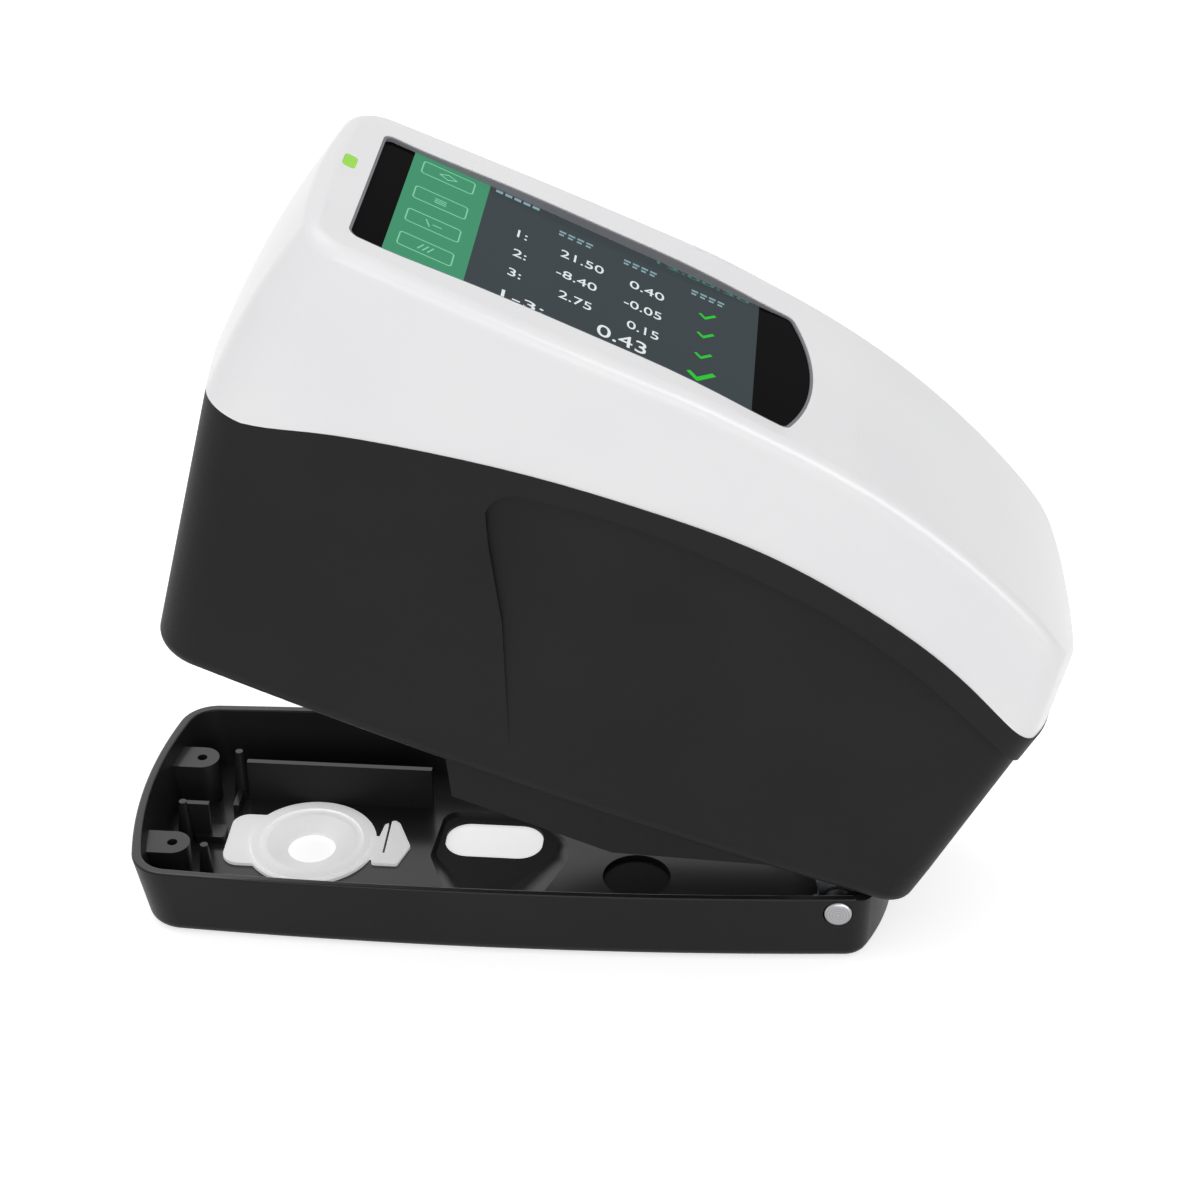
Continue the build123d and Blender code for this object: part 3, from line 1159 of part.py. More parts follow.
board_side_y = switch_back_y
with BuildPart() as button_board:
    board_length, board_height = button_board_size
    board_centre_u, board_centre_v = button_board_spot
    extrude(panel(head_side(board_side_y), board_centre_u - board_length / 2, board_centre_u + board_length / 2,
                  board_centre_v - board_height / 2, board_centre_v + board_height / 2, 1.5), amount=board_thickness)
    extrude(discs(head_side(board_side_y), button_boss_spots, 1.1), amount=board_thickness, mode=Mode.SUBTRACT)

button_board.part.label = "button_board"
export_step(button_board.part, "parts/button_board.step")

with BuildPart() as button_switches:
    with BuildSketch(head_side(board_side_y)):
        with Locations(measure_spot, power_spot):
            Rectangle(switch_size[0], switch_size[0])
    extrude(amount=-(switch_size[1] - 0.7))
    extrude(discs(head_side(board_side_y), [measure_spot, power_spot], 1.7), amount=-switch_size[1])

button_switches.part.label = "button_switches"
export_step(button_switches.part, "parts/button_switches.step")

with BuildPart() as button_screws:
    extrude(discs(head_side(board_side_y - board_thickness), button_boss_spots, 1.8), amount=1.2)
    extrude(discs(head_side(board_side_y - board_thickness), button_boss_spots, 0.9), amount=-6.0)

button_screws.part.label = "button_screws"
export_step(button_screws.part, "parts/button_screws.step")

board_front, board_rear, board_half = socket_board_box
with BuildPart() as socket_board:
    extrude(panel(HEAD.offset(rail_top), board_front, board_rear, -board_half, board_half, 1.0),
            amount=board_thickness)

socket_board.part.label = "socket_board"
export_step(socket_board.part, "parts/socket_board.step")

socket_length, socket_width, socket_height = socket_size
socket_plane = Plane(origin=HEAD.from_local_coords((socket_rear - socket_length, 0, socket_v)), x_dir=(0, 1, 0),
                     z_dir=HEAD.x_dir)
with BuildPart() as usb_socket:
    with BuildSketch(socket_plane):
        RectangleRounded(socket_width, socket_height, 1.2)
    extrude(amount=socket_length)
    with BuildSketch(socket_plane.offset(0.6)):
        RectangleRounded(socket_width - 0.8, socket_height - 0.8, 0.9)
        Rectangle(socket_width - 2.6, 0.7, mode=Mode.SUBTRACT)
    extrude(amount=socket_length, mode=Mode.SUBTRACT)

usb_socket.part.label = "usb_socket"
export_step(usb_socket.part, "parts/usb_socket.step")
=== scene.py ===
"""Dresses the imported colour-measuring head and its tray base with their real finishes, screen and studio."""

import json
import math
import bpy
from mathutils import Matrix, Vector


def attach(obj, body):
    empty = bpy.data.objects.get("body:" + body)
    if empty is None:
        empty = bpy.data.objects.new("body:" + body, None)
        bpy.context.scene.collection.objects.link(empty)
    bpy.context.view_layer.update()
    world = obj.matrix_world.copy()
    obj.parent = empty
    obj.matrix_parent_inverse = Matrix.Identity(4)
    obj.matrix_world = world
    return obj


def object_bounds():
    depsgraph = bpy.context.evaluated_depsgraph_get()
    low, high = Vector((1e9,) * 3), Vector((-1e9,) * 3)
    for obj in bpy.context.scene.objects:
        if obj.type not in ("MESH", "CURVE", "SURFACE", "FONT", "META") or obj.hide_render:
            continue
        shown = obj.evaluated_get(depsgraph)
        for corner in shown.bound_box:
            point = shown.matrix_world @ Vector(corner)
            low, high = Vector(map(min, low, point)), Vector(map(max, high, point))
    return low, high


bl_info = {
    "name": "Benchtop Colorimeter",
    "version": (1, 0, 0),
    "blender": (4, 5, 0),
    "location": "3D View > Sidebar > Colorimeter",
    "description": "Finishes, screen picture and studio for a hinged colour-measuring head",
    "category": "Object",
}

import bmesh
import bpy
from bpy.props import FloatProperty, FloatVectorProperty, PointerProperty
from bpy.types import Operator, Panel, PropertyGroup
from mathutils import Matrix, Vector

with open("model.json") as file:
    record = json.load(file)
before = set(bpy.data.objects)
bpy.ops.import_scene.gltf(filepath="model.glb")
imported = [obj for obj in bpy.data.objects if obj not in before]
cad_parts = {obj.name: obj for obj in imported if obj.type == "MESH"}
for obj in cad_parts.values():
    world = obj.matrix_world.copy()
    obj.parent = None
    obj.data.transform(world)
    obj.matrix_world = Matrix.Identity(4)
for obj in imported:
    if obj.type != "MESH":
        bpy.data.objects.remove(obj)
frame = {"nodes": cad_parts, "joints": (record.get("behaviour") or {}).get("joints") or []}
cad_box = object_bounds()

# ---------------------------------------------------------------- the head's frame, read from the hinge
hinge = frame["joints"][0]
HINGE = Vector(hinge["pos_m"])
OPEN_ANGLE = -math.radians(hinge["range_deg"][0])
HEAD_BACK = Vector((math.cos(OPEN_ANGLE), 0, -math.sin(OPEN_ANGLE)))
HEAD_UP = Vector((math.sin(OPEN_ANGLE), 0, math.cos(OPEN_ANGLE)))
GLASS_SLOPE = 0.06  # the glass falls this much per unit towards the rear of the closed head
WINDOW_FRONT = -0.1534  # front edge of the window, measured from the hinge along the closed head

# ---------------------------------------------------------------- surfaces, in metres unless said otherwise
MM_PER_METRE = 1000.0
GRAIN_DEPTH = 0.0001  # depth of a moulded grain
LINE_DEPTH = 0.00005  # depth of turned, drawn or rolled tool lines
GRAIN_SPREAD = 0.04  # how far a moulded grain moves the roughness either way
LINE_SPREAD = 0.08  # how far tool lines move the roughness either way
POLISH_FROM = 0.0013  # height between the floor of the tray's sunken well and its main floor
POLISH_BLEND = 0.0002  # height over which that polish sets in
LEVEL_FROM, LEVEL_FULL = 0.6, 0.95  # how far up a face has to look before it counts as level


def glass_frame():
    """A frame on top of the glass, from the window's front edge: x to the rear, y across, z outwards."""
    along = (HEAD_BACK - GLASS_SLOPE * HEAD_UP).normalized()
    out = (HEAD_UP + GLASS_SLOPE * HEAD_BACK).normalized()
    level = max(v.co.dot(out) for v in frame["nodes"]["touch_glass"].data.vertices)
    corner = HINGE + HEAD_BACK * WINDOW_FRONT
    corner += HEAD_UP * ((level - corner.dot(out)) / HEAD_UP.dot(out))
    across = Vector((0, 1, 0))
    return Matrix.Translation(corner) @ Matrix((along, across, out)).transposed().to_4x4()


def linear(hex_text):
    """An sRGB hex colour as the linear red, green and blue that Blender's colours use."""
    parts = [int(hex_text[i : i + 2], 16) / 255 for i in (1, 3, 5)]
    return [c / 12.92 if c <= 0.04045 else ((c + 0.055) / 1.055) ** 2.4 for c in parts]


def colour(name, description, hex_text):
    """A colour property whose default is an sRGB hex value."""
    return FloatVectorProperty(
        name=name, description=description, subtype="COLOR", size=3, min=0, max=1, default=linear(hex_text)
    )


# ---------------------------------------------------------------- properties
class ColorimeterColours(PropertyGroup):
    cover: colour("Cover", "White moulded cover", "#f2f2f3")
    cover_shade: colour("Cover Shade", "The cover's slightly cooler flow marks", "#ececee")
    shell: colour("Shell", "Dark shell and tray", "#232324")
    shell_shade: colour("Shell Shade", "Darker grain of the dark plastic", "#1d1d1e")
    glass: colour("Glass Border", "Black print behind the window glass", "#0c0c0d")
    # the seal's grey is painted shade of the window's recess wall
    seal: colour("Window Seal", "Rubber seal round the glass", "#85858a")
    ring: colour("Locator Ring", "Translucent ring in the tray", "#f6f6f6")
    light: colour("Status Light", "Lime light pipe", "#90cf40")
    slate: colour("Screen Page", "Dark page of the screen", "#3b4448")
    menu: colour("Screen Menu", "Green strip along the screen's front end", "#42946e")
    menu_line: colour("Menu Frames", "Frames and marks of the menu buttons", "#86cfa9")
    digits: colour("Screen Figures", "White figures", "#e9eef0")
    heading: colour("Screen Headings", "Pale blue bars over the columns", "#8fb0b8")
    tick: colour("Screen Ticks", "Green ticks", "#27c92f")
    clock: colour("Screen Clock", "Small teal figures at the screen's far edge", "#4f8478")
    board: colour("Circuit Board", "Solder mask", "#12603a")
    battery: colour("Battery Film", "Shrink film round the battery", "#2c4a78")


class ColorimeterSizes(PropertyGroup):
    plate_rise: FloatProperty(
        name="Picture Rise",
        description="Height of the screen's picture over the glass",
        default=0.00005,
        unit="LENGTH",
    )
    figure_rise: FloatProperty(
        name="Figure Rise",
        description="Height of the figures over the picture",
        default=0.00004,
        unit="LENGTH",
    )
    frame_line: FloatProperty(
        name="Frame Line", description="Line width of the menu frames", default=0.0003, unit="LENGTH"
    )
    camera_lens: FloatProperty(
        name="Camera Lens", description="Focal length of the studio camera", default=79.53, unit="CAMERA"
    )


# ---------------------------------------------------------------- small helpers
STROKE_OVERLAP = 0.7  # how much longer than its run a stroke is, in widths, so that corners close


def add_node(tree, kind, settings=None, links=None):
    """Adds one node. settings fill its sockets or properties, links feed its sockets."""
    node = tree.nodes.new(kind)
    for key, value in (settings or {}).items():
        if isinstance(key, str) and key not in node.inputs:
            setattr(node, key, value)
        else:
            node.inputs[key].default_value = value
    for key, source in (links or {}).items():
        tree.links.new(source, node.inputs[key])
    return node


def new_material(name):
    """An empty node material, or the one already made under this name."""
    material = bpy.data.materials.get(name)
    if material:
        return material, None
    material = bpy.data.materials.new(name)
    material.use_nodes = True
    material.node_tree.nodes.clear()
    return material, material.node_tree


def shaded(rgb):
    """A colour as a node's socket takes it, with full alpha."""
    return (*rgb, 1.0)


def close(tree, shader):
    """Ends a material at its output."""
    add_node(tree, "ShaderNodeOutputMaterial", links={"Surface": shader.outputs[0]})


def moulded_plastic(name, base, shade, roughness, grain_mm, relief, specular, coat=0.0, level_gloss=0.0):
    """Injection-moulded plastic: faint flow marks in its colour and a fine spark-eroded grain in its relief.

    level_gloss is for a mould whose level faces are polished: a coat of this weight lies on them, and not
    on walls or on what lies lower than POLISH_FROM.
    """
    material, tree = new_material(name)
    if tree is None:
        return material
    place = add_node(tree, "ShaderNodeTexCoord").outputs["Object"]
    # flow marks, clouds about 25 mm across
    flow = add_node(
        tree, "ShaderNodeTexNoise", {"Scale": 40.0, "Detail": 2.0, "Roughness": 0.4}, {"Vector": place}
    )
    tone = add_node(
        tree,
        "ShaderNodeMix",
        {"data_type": "RGBA", 6: shaded(base), 7: shaded(shade)},
        {0: flow.outputs["Fac"]},
    )
    # the mould's grain: one bump per grain_mm
    grain = add_node(
        tree,
        "ShaderNodeTexNoise",
        {"Scale": MM_PER_METRE / grain_mm, "Detail": 1.0, "Roughness": 0.5},
        {"Vector": place},
    )
    bump = add_node(
        tree,
        "ShaderNodeBump",
        {"Strength": relief, "Distance": GRAIN_DEPTH},
        {"Height": grain.outputs["Fac"]},
    )
    rough = add_node(
        tree,
        "ShaderNodeMapRange",
        {
            "From Min": 0.3,
            "From Max": 0.7,
            "To Min": roughness - GRAIN_SPREAD,
            "To Max": roughness + GRAIN_SPREAD,
        },
        {"Value": grain.outputs["Fac"]},
    )
    shader = add_node(
        tree,
        "ShaderNodeBsdfPrincipled",
        {"IOR": 1.5, "Specular IOR Level": specular, "Coat Weight": coat, "Coat Roughness": 0.2},
        {"Base Color": tone.outputs[2], "Roughness": rough.outputs[0], "Normal": bump.outputs[0]},
    )
    if level_gloss:
        normal = add_node(tree, "ShaderNodeNewGeometry").outputs["Normal"]
        facing = add_node(tree, "ShaderNodeSeparateXYZ", links={"Vector": normal})
        height = add_node(tree, "ShaderNodeSeparateXYZ", links={"Vector": place})
        raised = add_node(
            tree,
            "ShaderNodeMapRange",
            {
                "From Min": POLISH_FROM - POLISH_BLEND,
                "From Max": POLISH_FROM + POLISH_BLEND,
                "To Min": coat,
                "To Max": level_gloss,
            },
            {"Value": height.outputs["Z"]},
        )
        gloss = add_node(
            tree,
            "ShaderNodeMapRange",
            {"From Min": LEVEL_FROM, "From Max": LEVEL_FULL, "To Min": coat},
            {"Value": facing.outputs["Z"], "To Max": raised.outputs[0]},
        )
        tree.links.new(gloss.outputs[0], shader.inputs["Coat Weight"])
    close(tree, shader)
    return material


def drawn_metal(name, low, high, roughness, line_mm, stretch):
    """Turned, drawn or rolled metal: fine tool lines that run the way whose stretch value is small."""
    material, tree = new_material(name)
    if tree is None:
        return material
    place = add_node(tree, "ShaderNodeTexCoord").outputs["Object"]
    lines = add_node(tree, "ShaderNodeMapping", {"Scale": stretch}, {"Vector": place})
    marks = add_node(
        tree,
        "ShaderNodeTexNoise",
        {"Scale": MM_PER_METRE / line_mm, "Detail": 3.0},
        {"Vector": lines.outputs[0]},
    )
    tone = add_node(
        tree,
        "ShaderNodeMix",
        {"data_type": "RGBA", 6: shaded(linear(low)), 7: shaded(linear(high))},
        {0: marks.outputs["Fac"]},
    )
    rough = add_node(
        tree,
        "ShaderNodeMapRange",
        {"To Min": roughness - LINE_SPREAD, "To Max": roughness + LINE_SPREAD},
        {"Value": marks.outputs["Fac"]},
    )
    bump = add_node(
        tree, "ShaderNodeBump", {"Strength": 0.15, "Distance": LINE_DEPTH}, {"Height": marks.outputs["Fac"]}
    )
    shader = add_node(
        tree,
        "ShaderNodeBsdfPrincipled",
        {"Metallic": 1.0},
        {"Base Color": tone.outputs[2], "Roughness": rough.outputs[0], "Normal": bump.outputs[0]},
    )
    close(tree, shader)
    return material


def lit_layer(name, rgb, glow):
    """One colour of the lit screen, broken up by the panel's pixel rows.

    The rows are about 1 mm apart. A real panel's are ten times finer, too fine to show.
    """
    material, tree = new_material(name)
    if tree is None:
        return material
    place = add_node(tree, "ShaderNodeTexCoord").outputs["Object"]
    rows = add_node(
        tree,
        "ShaderNodeTexWave",
        {"wave_type": "BANDS", "bands_direction": "Y", "Scale": 300.0},
        {"Vector": place},
    )
    dim = [c * 0.9 for c in rgb]
    tone = add_node(
        tree, "ShaderNodeMix", {"data_type": "RGBA", 6: shaded(dim), 7: shaded(rgb)}, {0: rows.outputs["Fac"]}
    )
    shader = add_node(
        tree,
        "ShaderNodeBsdfPrincipled",
        {
            "Base Color": (0.01, 0.01, 0.01, 1),
            "Roughness": 0.12,
            "Specular IOR Level": 0.005,
            "Emission Strength": glow,
        },
        {"Emission Color": tone.outputs[2]},
    )
    close(tree, shader)
    return material


def dress(material, *nodes):
    """Gives these CAD nodes this material."""
    for node in nodes:
        mesh = frame["nodes"][node].data
        mesh.materials.clear()
        mesh.materials.append(material)


def finish_piece(mesh_maker, name, body, material, place):
    """Turns a filled bmesh into a piece of the scene, placed by a matrix and riding on a body."""
    mesh_maker.transform(place)
    bmesh.ops.recalc_face_normals(mesh_maker, faces=mesh_maker.faces)
    mesh = bpy.data.meshes.new(name)
    mesh_maker.to_mesh(mesh)
    mesh_maker.free()
    mesh.materials.append(material)
    piece = bpy.data.objects.new(name, mesh)
    bpy.context.scene.collection.objects.link(piece)
    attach(piece, body)


def add_plate(shape, x0, x1, y0, y1, low, high, corner=0.0):
    """Adds a flat plate between two heights, with round corners if asked, to a bmesh."""
    made = bmesh.ops.create_cube(shape, size=1.0)
    verts = made["verts"]
    bmesh.ops.scale(shape, vec=(x1 - x0, y1 - y0, high - low), verts=verts)
    bmesh.ops.translate(shape, vec=((x0 + x1) / 2, (y0 + y1) / 2, (low + high) / 2), verts=verts)
    if corner > 0:
        half = (high - low) / 2
        upright = {e for v in verts for e in v.link_edges if abs(e.verts[0].co.z - e.verts[1].co.z) > half}
        bmesh.ops.bevel(
            shape, geom=list(upright), offset=corner, affect="EDGES", segments=4, profile=0.5, material=-1
        )


def add_frame(shape, x0, x1, y0, y1, low, high, line, corner):
    """Adds a thin rectangular frame with round corners: a plate whose top and bottom are inset and joined."""
    plate = bmesh.new()
    add_plate(plate, x0, x1, y0, y1, low, high, corner)
    plate.normal_update()
    caps = [f for f in plate.faces if abs(f.normal.z) > 0.9]
    bmesh.ops.inset_individual(plate, faces=caps, thickness=line)
    rims = {e for f in caps for e in f.edges}
    bmesh.ops.delete(plate, geom=caps, context="FACES_ONLY")
    bmesh.ops.bridge_loops(plate, edges=list(rims))
    mesh = bpy.data.meshes.new("frame")
    plate.to_mesh(mesh)
    plate.free()
    shape.from_mesh(mesh)
    bpy.data.meshes.remove(mesh)


def add_stroke(shape, start, end, width, low, high):
    """Adds one straight bar between two points, for ticks and menu marks."""
    start, end = Vector((*start, 0)), Vector((*end, 0))
    run = end - start
    made = bmesh.ops.create_cube(shape, size=1.0)
    turn = Matrix.Rotation(math.atan2(run.y, run.x), 4, "Z")
    middle = (start + end) / 2
    size = Matrix.Diagonal((run.length + width * STROKE_OVERLAP, width, high - low, 1))
    matrix = Matrix.Translation((middle.x, middle.y, (low + high) / 2)) @ turn @ size
    bmesh.ops.transform(shape, matrix=matrix, verts=made["verts"])


def add_figures(shape, text, x0, x1, y0, y1, low, high):
    """Adds plain figures as a thin solid that fills a rectangle, or keeps their proportions if x1 is None."""
    curve = bpy.data.curves.new("figures", "FONT")
    curve.body = text
    holder = bpy.data.objects.new("figures", curve)
    bpy.context.scene.collection.objects.link(holder)
    flat = bpy.data.meshes.new_from_object(holder.evaluated_get(bpy.context.evaluated_depsgraph_get()))
    bpy.data.objects.remove(holder)
    bpy.data.curves.remove(curve)
    letters = bmesh.new()
    letters.from_mesh(flat)
    bpy.data.meshes.remove(flat)
    xs = [v.co.x for v in letters.verts]
    ys = [v.co.y for v in letters.verts]
    tall = (y1 - y0) / (max(ys) - min(ys))
    wide = tall if x1 is None else (x1 - x0) / (max(xs) - min(xs))
    for v in letters.verts:
        v.co = Vector((x0 + (v.co.x - min(xs)) * wide, y0 + (v.co.y - min(ys)) * tall, low))
    raised = bmesh.ops.extrude_face_region(letters, geom=letters.faces[:])
    top = [g for g in raised["geom"] if isinstance(g, bmesh.types.BMVert)]
    bmesh.ops.translate(letters, vec=(0, 0, high - low), verts=top)
    solid = bpy.data.meshes.new("figures")
    letters.to_mesh(solid)
    letters.free()
    shape.from_mesh(solid)
    bpy.data.meshes.remove(solid)


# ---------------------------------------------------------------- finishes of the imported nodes
class COLORIMETER_OT_shells(Operator):
    """Finish the white cover, the dark shell, the tray and the other moulded pieces"""

    bl_idname = "colorimeter.shells"
    bl_label = "Moulded Shells"

    def execute(self, context):
        tint = context.scene.colorimeter_colours
        # satin ABS: soft sheen from a lightly polished mould, grain 0.6 mm
        cover = moulded_plastic(
            "satin_white_abs", tint.cover, tint.cover_shade,
            roughness=0.34, grain_mm=0.6, relief=0.004, specular=0.35, coat=0.25,
        )
        # spark-eroded ABS and polycarbonate: an even matte grain of 0.4 mm that spreads the highlight
        shell = moulded_plastic(
            "grained_charcoal_abs", tint.shell, tint.shell_shade,
            roughness=0.5, grain_mm=0.4, relief=0.12, specular=0.12,
        )
        dress(cover, "upper_cover")
        dress(shell, "lower_shell", "battery_hatch")
        # the tray's mould is polished on its level faces, so the floor mirrors a little of the room
        tray = moulded_plastic(
            "satin_charcoal_abs", tint.shell, tint.shell_shade,
            roughness=0.4, grain_mm=0.4, relief=0.06, specular=0.12, level_gloss=1.0,
        )
        dress(tray, "base_tray")
        # acetal, moulded for the nose and turned for the bushes: matte and near black
        nose = moulded_plastic(
            "matte_black_acetal", linear("#1c1c1d"), linear("#161617"),
            roughness=0.55, grain_mm=0.5, relief=0.1, specular=0.25,
        )
        dress(nose, "aperture_nose", "hinge_bushes")
        # satin ABS buttons, a shade lighter than the shell so that a finger finds them
        button = moulded_plastic(
            "satin_grey_button_abs", linear("#4a4a4c"), linear("#434345"),
            roughness=0.4, grain_mm=0.5, relief=0.05, specular=0.35,
        )
        dress(button, "measure_button", "power_button")
        return {"FINISHED"}


class COLORIMETER_OT_ring(Operator):
    """Finish the translucent locator ring"""

    bl_idname = "colorimeter.ring"
    bl_label = "Locator Ring"

    def execute(self, context):
        tint = context.scene.colorimeter_colours
        material, tree = new_material("milky_polypropylene")
        if tree:
            place = add_node(tree, "ShaderNodeTexCoord").outputs["Object"]
            # milky flow marks, about 8 mm across
            cloud = add_node(tree, "ShaderNodeTexNoise", {"Scale": 120.0, "Detail": 2.0}, {"Vector": place})
            dim = [c * 0.93 for c in tint.ring]
            tone = add_node(
                tree,
                "ShaderNodeMix",
                {"data_type": "RGBA", 6: shaded(dim), 7: shaded(tint.ring)},
                {0: cloud.outputs["Fac"]},
            )
            bump = add_node(
                tree,
                "ShaderNodeBump",
                {"Strength": 0.08, "Distance": GRAIN_DEPTH},
                {"Height": cloud.outputs["Fac"]},
            )
            shader = add_node(
                tree,
                "ShaderNodeBsdfPrincipled",
                {
                    "Roughness": 0.38,
                    "Emission Color": (1, 1, 1, 1),
                    "Emission Strength": 0.3,  # painted glow, standing in for the white table's light coming up through the milky plastic
                    "Specular IOR Level": 0.35,
                    "Subsurface Weight": 0.25,
                    "Subsurface Radius": (0.002, 0.002, 0.002),
                    "Subsurface Scale": 0.5,
                },
                {"Base Color": tone.outputs[2], "Normal": bump.outputs[0]},
            )
            close(tree, shader)
        dress(material, "locator_ring")
        return {"FINISHED"}


class COLORIMETER_OT_window(Operator):
    """Finish the window glass, its seal and the status light"""

    bl_idname = "colorimeter.window"
    bl_label = "Window and Light"

    def execute(self, context):
        tint = context.scene.colorimeter_colours
        glass, tree = new_material("black_backed_cover_glass")
        if tree:
            place = add_node(tree, "ShaderNodeTexCoord").outputs["Object"]
            # faint wipe marks, about 17 by 3 mm, that show only in the reflection
            wipe = add_node(tree, "ShaderNodeMapping", {"Scale": (60.0, 300.0, 60.0)}, {"Vector": place})
            smear = add_node(
                tree, "ShaderNodeTexNoise", {"Scale": 1.0, "Detail": 3.0}, {"Vector": wipe.outputs[0]}
            )
            rough = add_node(
                tree, "ShaderNodeMapRange", {"To Min": 0.04, "To Max": 0.12}, {"Value": smear.outputs["Fac"]}
            )
            shader = add_node(
                tree,
                "ShaderNodeBsdfPrincipled",
                {"Base Color": shaded(tint.glass), "IOR": 1.52, "Specular IOR Level": 0.005},
                {"Roughness": rough.outputs[0]},
            )
            close(tree, shader)
        dress(glass, "touch_glass")
        # moulded silicone with hardly any shine; its grey is painted shade, standing in for the shaded wall of
        # the window's recess
        seal = moulded_plastic(
            "window_seal_grey_painted_shade", tint.seal, linear("#7b7b80"),
            roughness=0.6, grain_mm=0.5, relief=0.05, specular=0.2,
        )
        dress(seal, "window_seal")
        light, tree = new_material("lime_light_pipe")
        if tree:
            place = add_node(tree, "ShaderNodeTexCoord").outputs["Object"]
            # the lamp behind the pipe makes a soft cloud in it
            cloud = add_node(tree, "ShaderNodeTexNoise", {"Scale": 250.0, "Detail": 1.0}, {"Vector": place})
            pale = [min(1.0, c * 1.1) for c in tint.light]
            tone = add_node(
                tree,
                "ShaderNodeMix",
                {"data_type": "RGBA", 6: shaded(tint.light), 7: shaded(pale)},
                {0: cloud.outputs["Fac"]},
            )
            shader = add_node(
                tree,
                "ShaderNodeBsdfPrincipled",
                {
                    "Base Color": (0.02, 0.05, 0.01, 1),
                    "Roughness": 0.25,
                    "Specular IOR Level": 0.1,
                    "Emission Strength": 0.95,
                },
                {"Emission Color": tone.outputs[2]},
            )
            close(tree, shader)
        dress(light, "status_light")
        return {"FINISHED"}


class COLORIMETER_OT_metalwork(Operator):
    """Finish the hinge pin, springs, brackets, spacers and screws"""

    bl_idname = "colorimeter.metalwork"
    bl_label = "Metalwork"

    def execute(self, context):
        # turned stainless pin: rings round the pin's own axis, 0.6 mm apart and so coarser than real ones
        pin, tree = new_material("turned_stainless_pin")
        if tree:
            place = add_node(tree, "ShaderNodeTexCoord").outputs["Object"]
            centre = add_node(tree, "ShaderNodeMapping", {"Location": -HINGE}, {"Vector": place})
            rings = add_node(
                tree,
                "ShaderNodeTexWave",
                {"wave_type": "RINGS", "rings_direction": "Y", "Scale": 500.0, "Distortion": 0.5},
                {"Vector": centre.outputs[0]},
            )
            tone = add_node(
                tree,
                "ShaderNodeMix",
                {"data_type": "RGBA", 6: shaded(linear("#97979a")), 7: shaded(linear("#adadb0"))},
                {0: rings.outputs["Fac"]},
            )
            bump = add_node(
                tree,
                "ShaderNodeBump",
                {"Strength": 0.12, "Distance": LINE_DEPTH},
                {"Height": rings.outputs["Fac"]},
            )
            shader = add_node(
                tree,
                "ShaderNodeBsdfPrincipled",
                {"Metallic": 1.0, "Roughness": 0.32},
                {"Base Color": tone.outputs[2], "Normal": bump.outputs[0]},
            )
            close(tree, shader)
        dress(pin, "hinge_pin", "pin_cap")
        # hard-drawn wire, bare and slightly dull
        dress(
            drawn_metal(
                "drawn_spring_wire", "#8e8e90", "#b4b4b6",
                roughness=0.35, line_mm=0.3, stretch=(1, 0.3, 1),
            ),
            "return_springs",
        )
        # zinc-plated steel screws
        dress(
            drawn_metal(
                "zinc_plated_screws", "#a8abad", "#c6c8ca",
                roughness=0.3, line_mm=0.2, stretch=(1, 1, 0.2),
            ),
            "display_screws", "board_screws", "case_screws", "bracket_screws", "nose_screws", "sphere_screws",
            "bench_screws", "hatch_screws", "button_screws",
        )
        # rolled sheet steel: lines along the sheet
        dress(
            drawn_metal(
                "rolled_bracket_steel", "#8b8d90", "#a9abae",
                roughness=0.4, line_mm=0.5, stretch=(0.08, 1, 1),
            ),
            "hinge_bracket", "display_bracket",
        )
        # turned brass, left bare
        dress(
            drawn_metal(
                "plain_brass", "#b08d4c", "#cfae6a",
                roughness=0.32, line_mm=0.3, stretch=(1, 0.2, 1),
            ),
            "board_spacers",
        )
        # tin-plated sheet: bright, with faint rolling lines
        dress(
            drawn_metal(
                "tinned_shield", "#b4b6b8", "#cccdd0",
                roughness=0.28, line_mm=0.8, stretch=(0.3, 1, 1),
            ),
            "processor_can", "usb_socket",
        )
        # glass with its metal film in front: almost a clear mirror
        dress(
            drawn_metal(
                "front_coated_mirror", "#dfe2e6", "#eceff2",
                roughness=0.1, line_mm=2.0, stretch=(1, 1, 1),
            ),
            "fold_mirror", "grating",
        )
        # anodised aluminium: black film over fine milling lines
        dress(
            drawn_metal(
                "black_anodised_aluminium", "#2a2a2c", "#3b3b3e",
                roughness=0.42, line_mm=0.4, stretch=(0.1, 1, 1),
            ),
            "optics_bench", "optics_lid", "viewing_tube",
        )
        return {"FINISHED"}


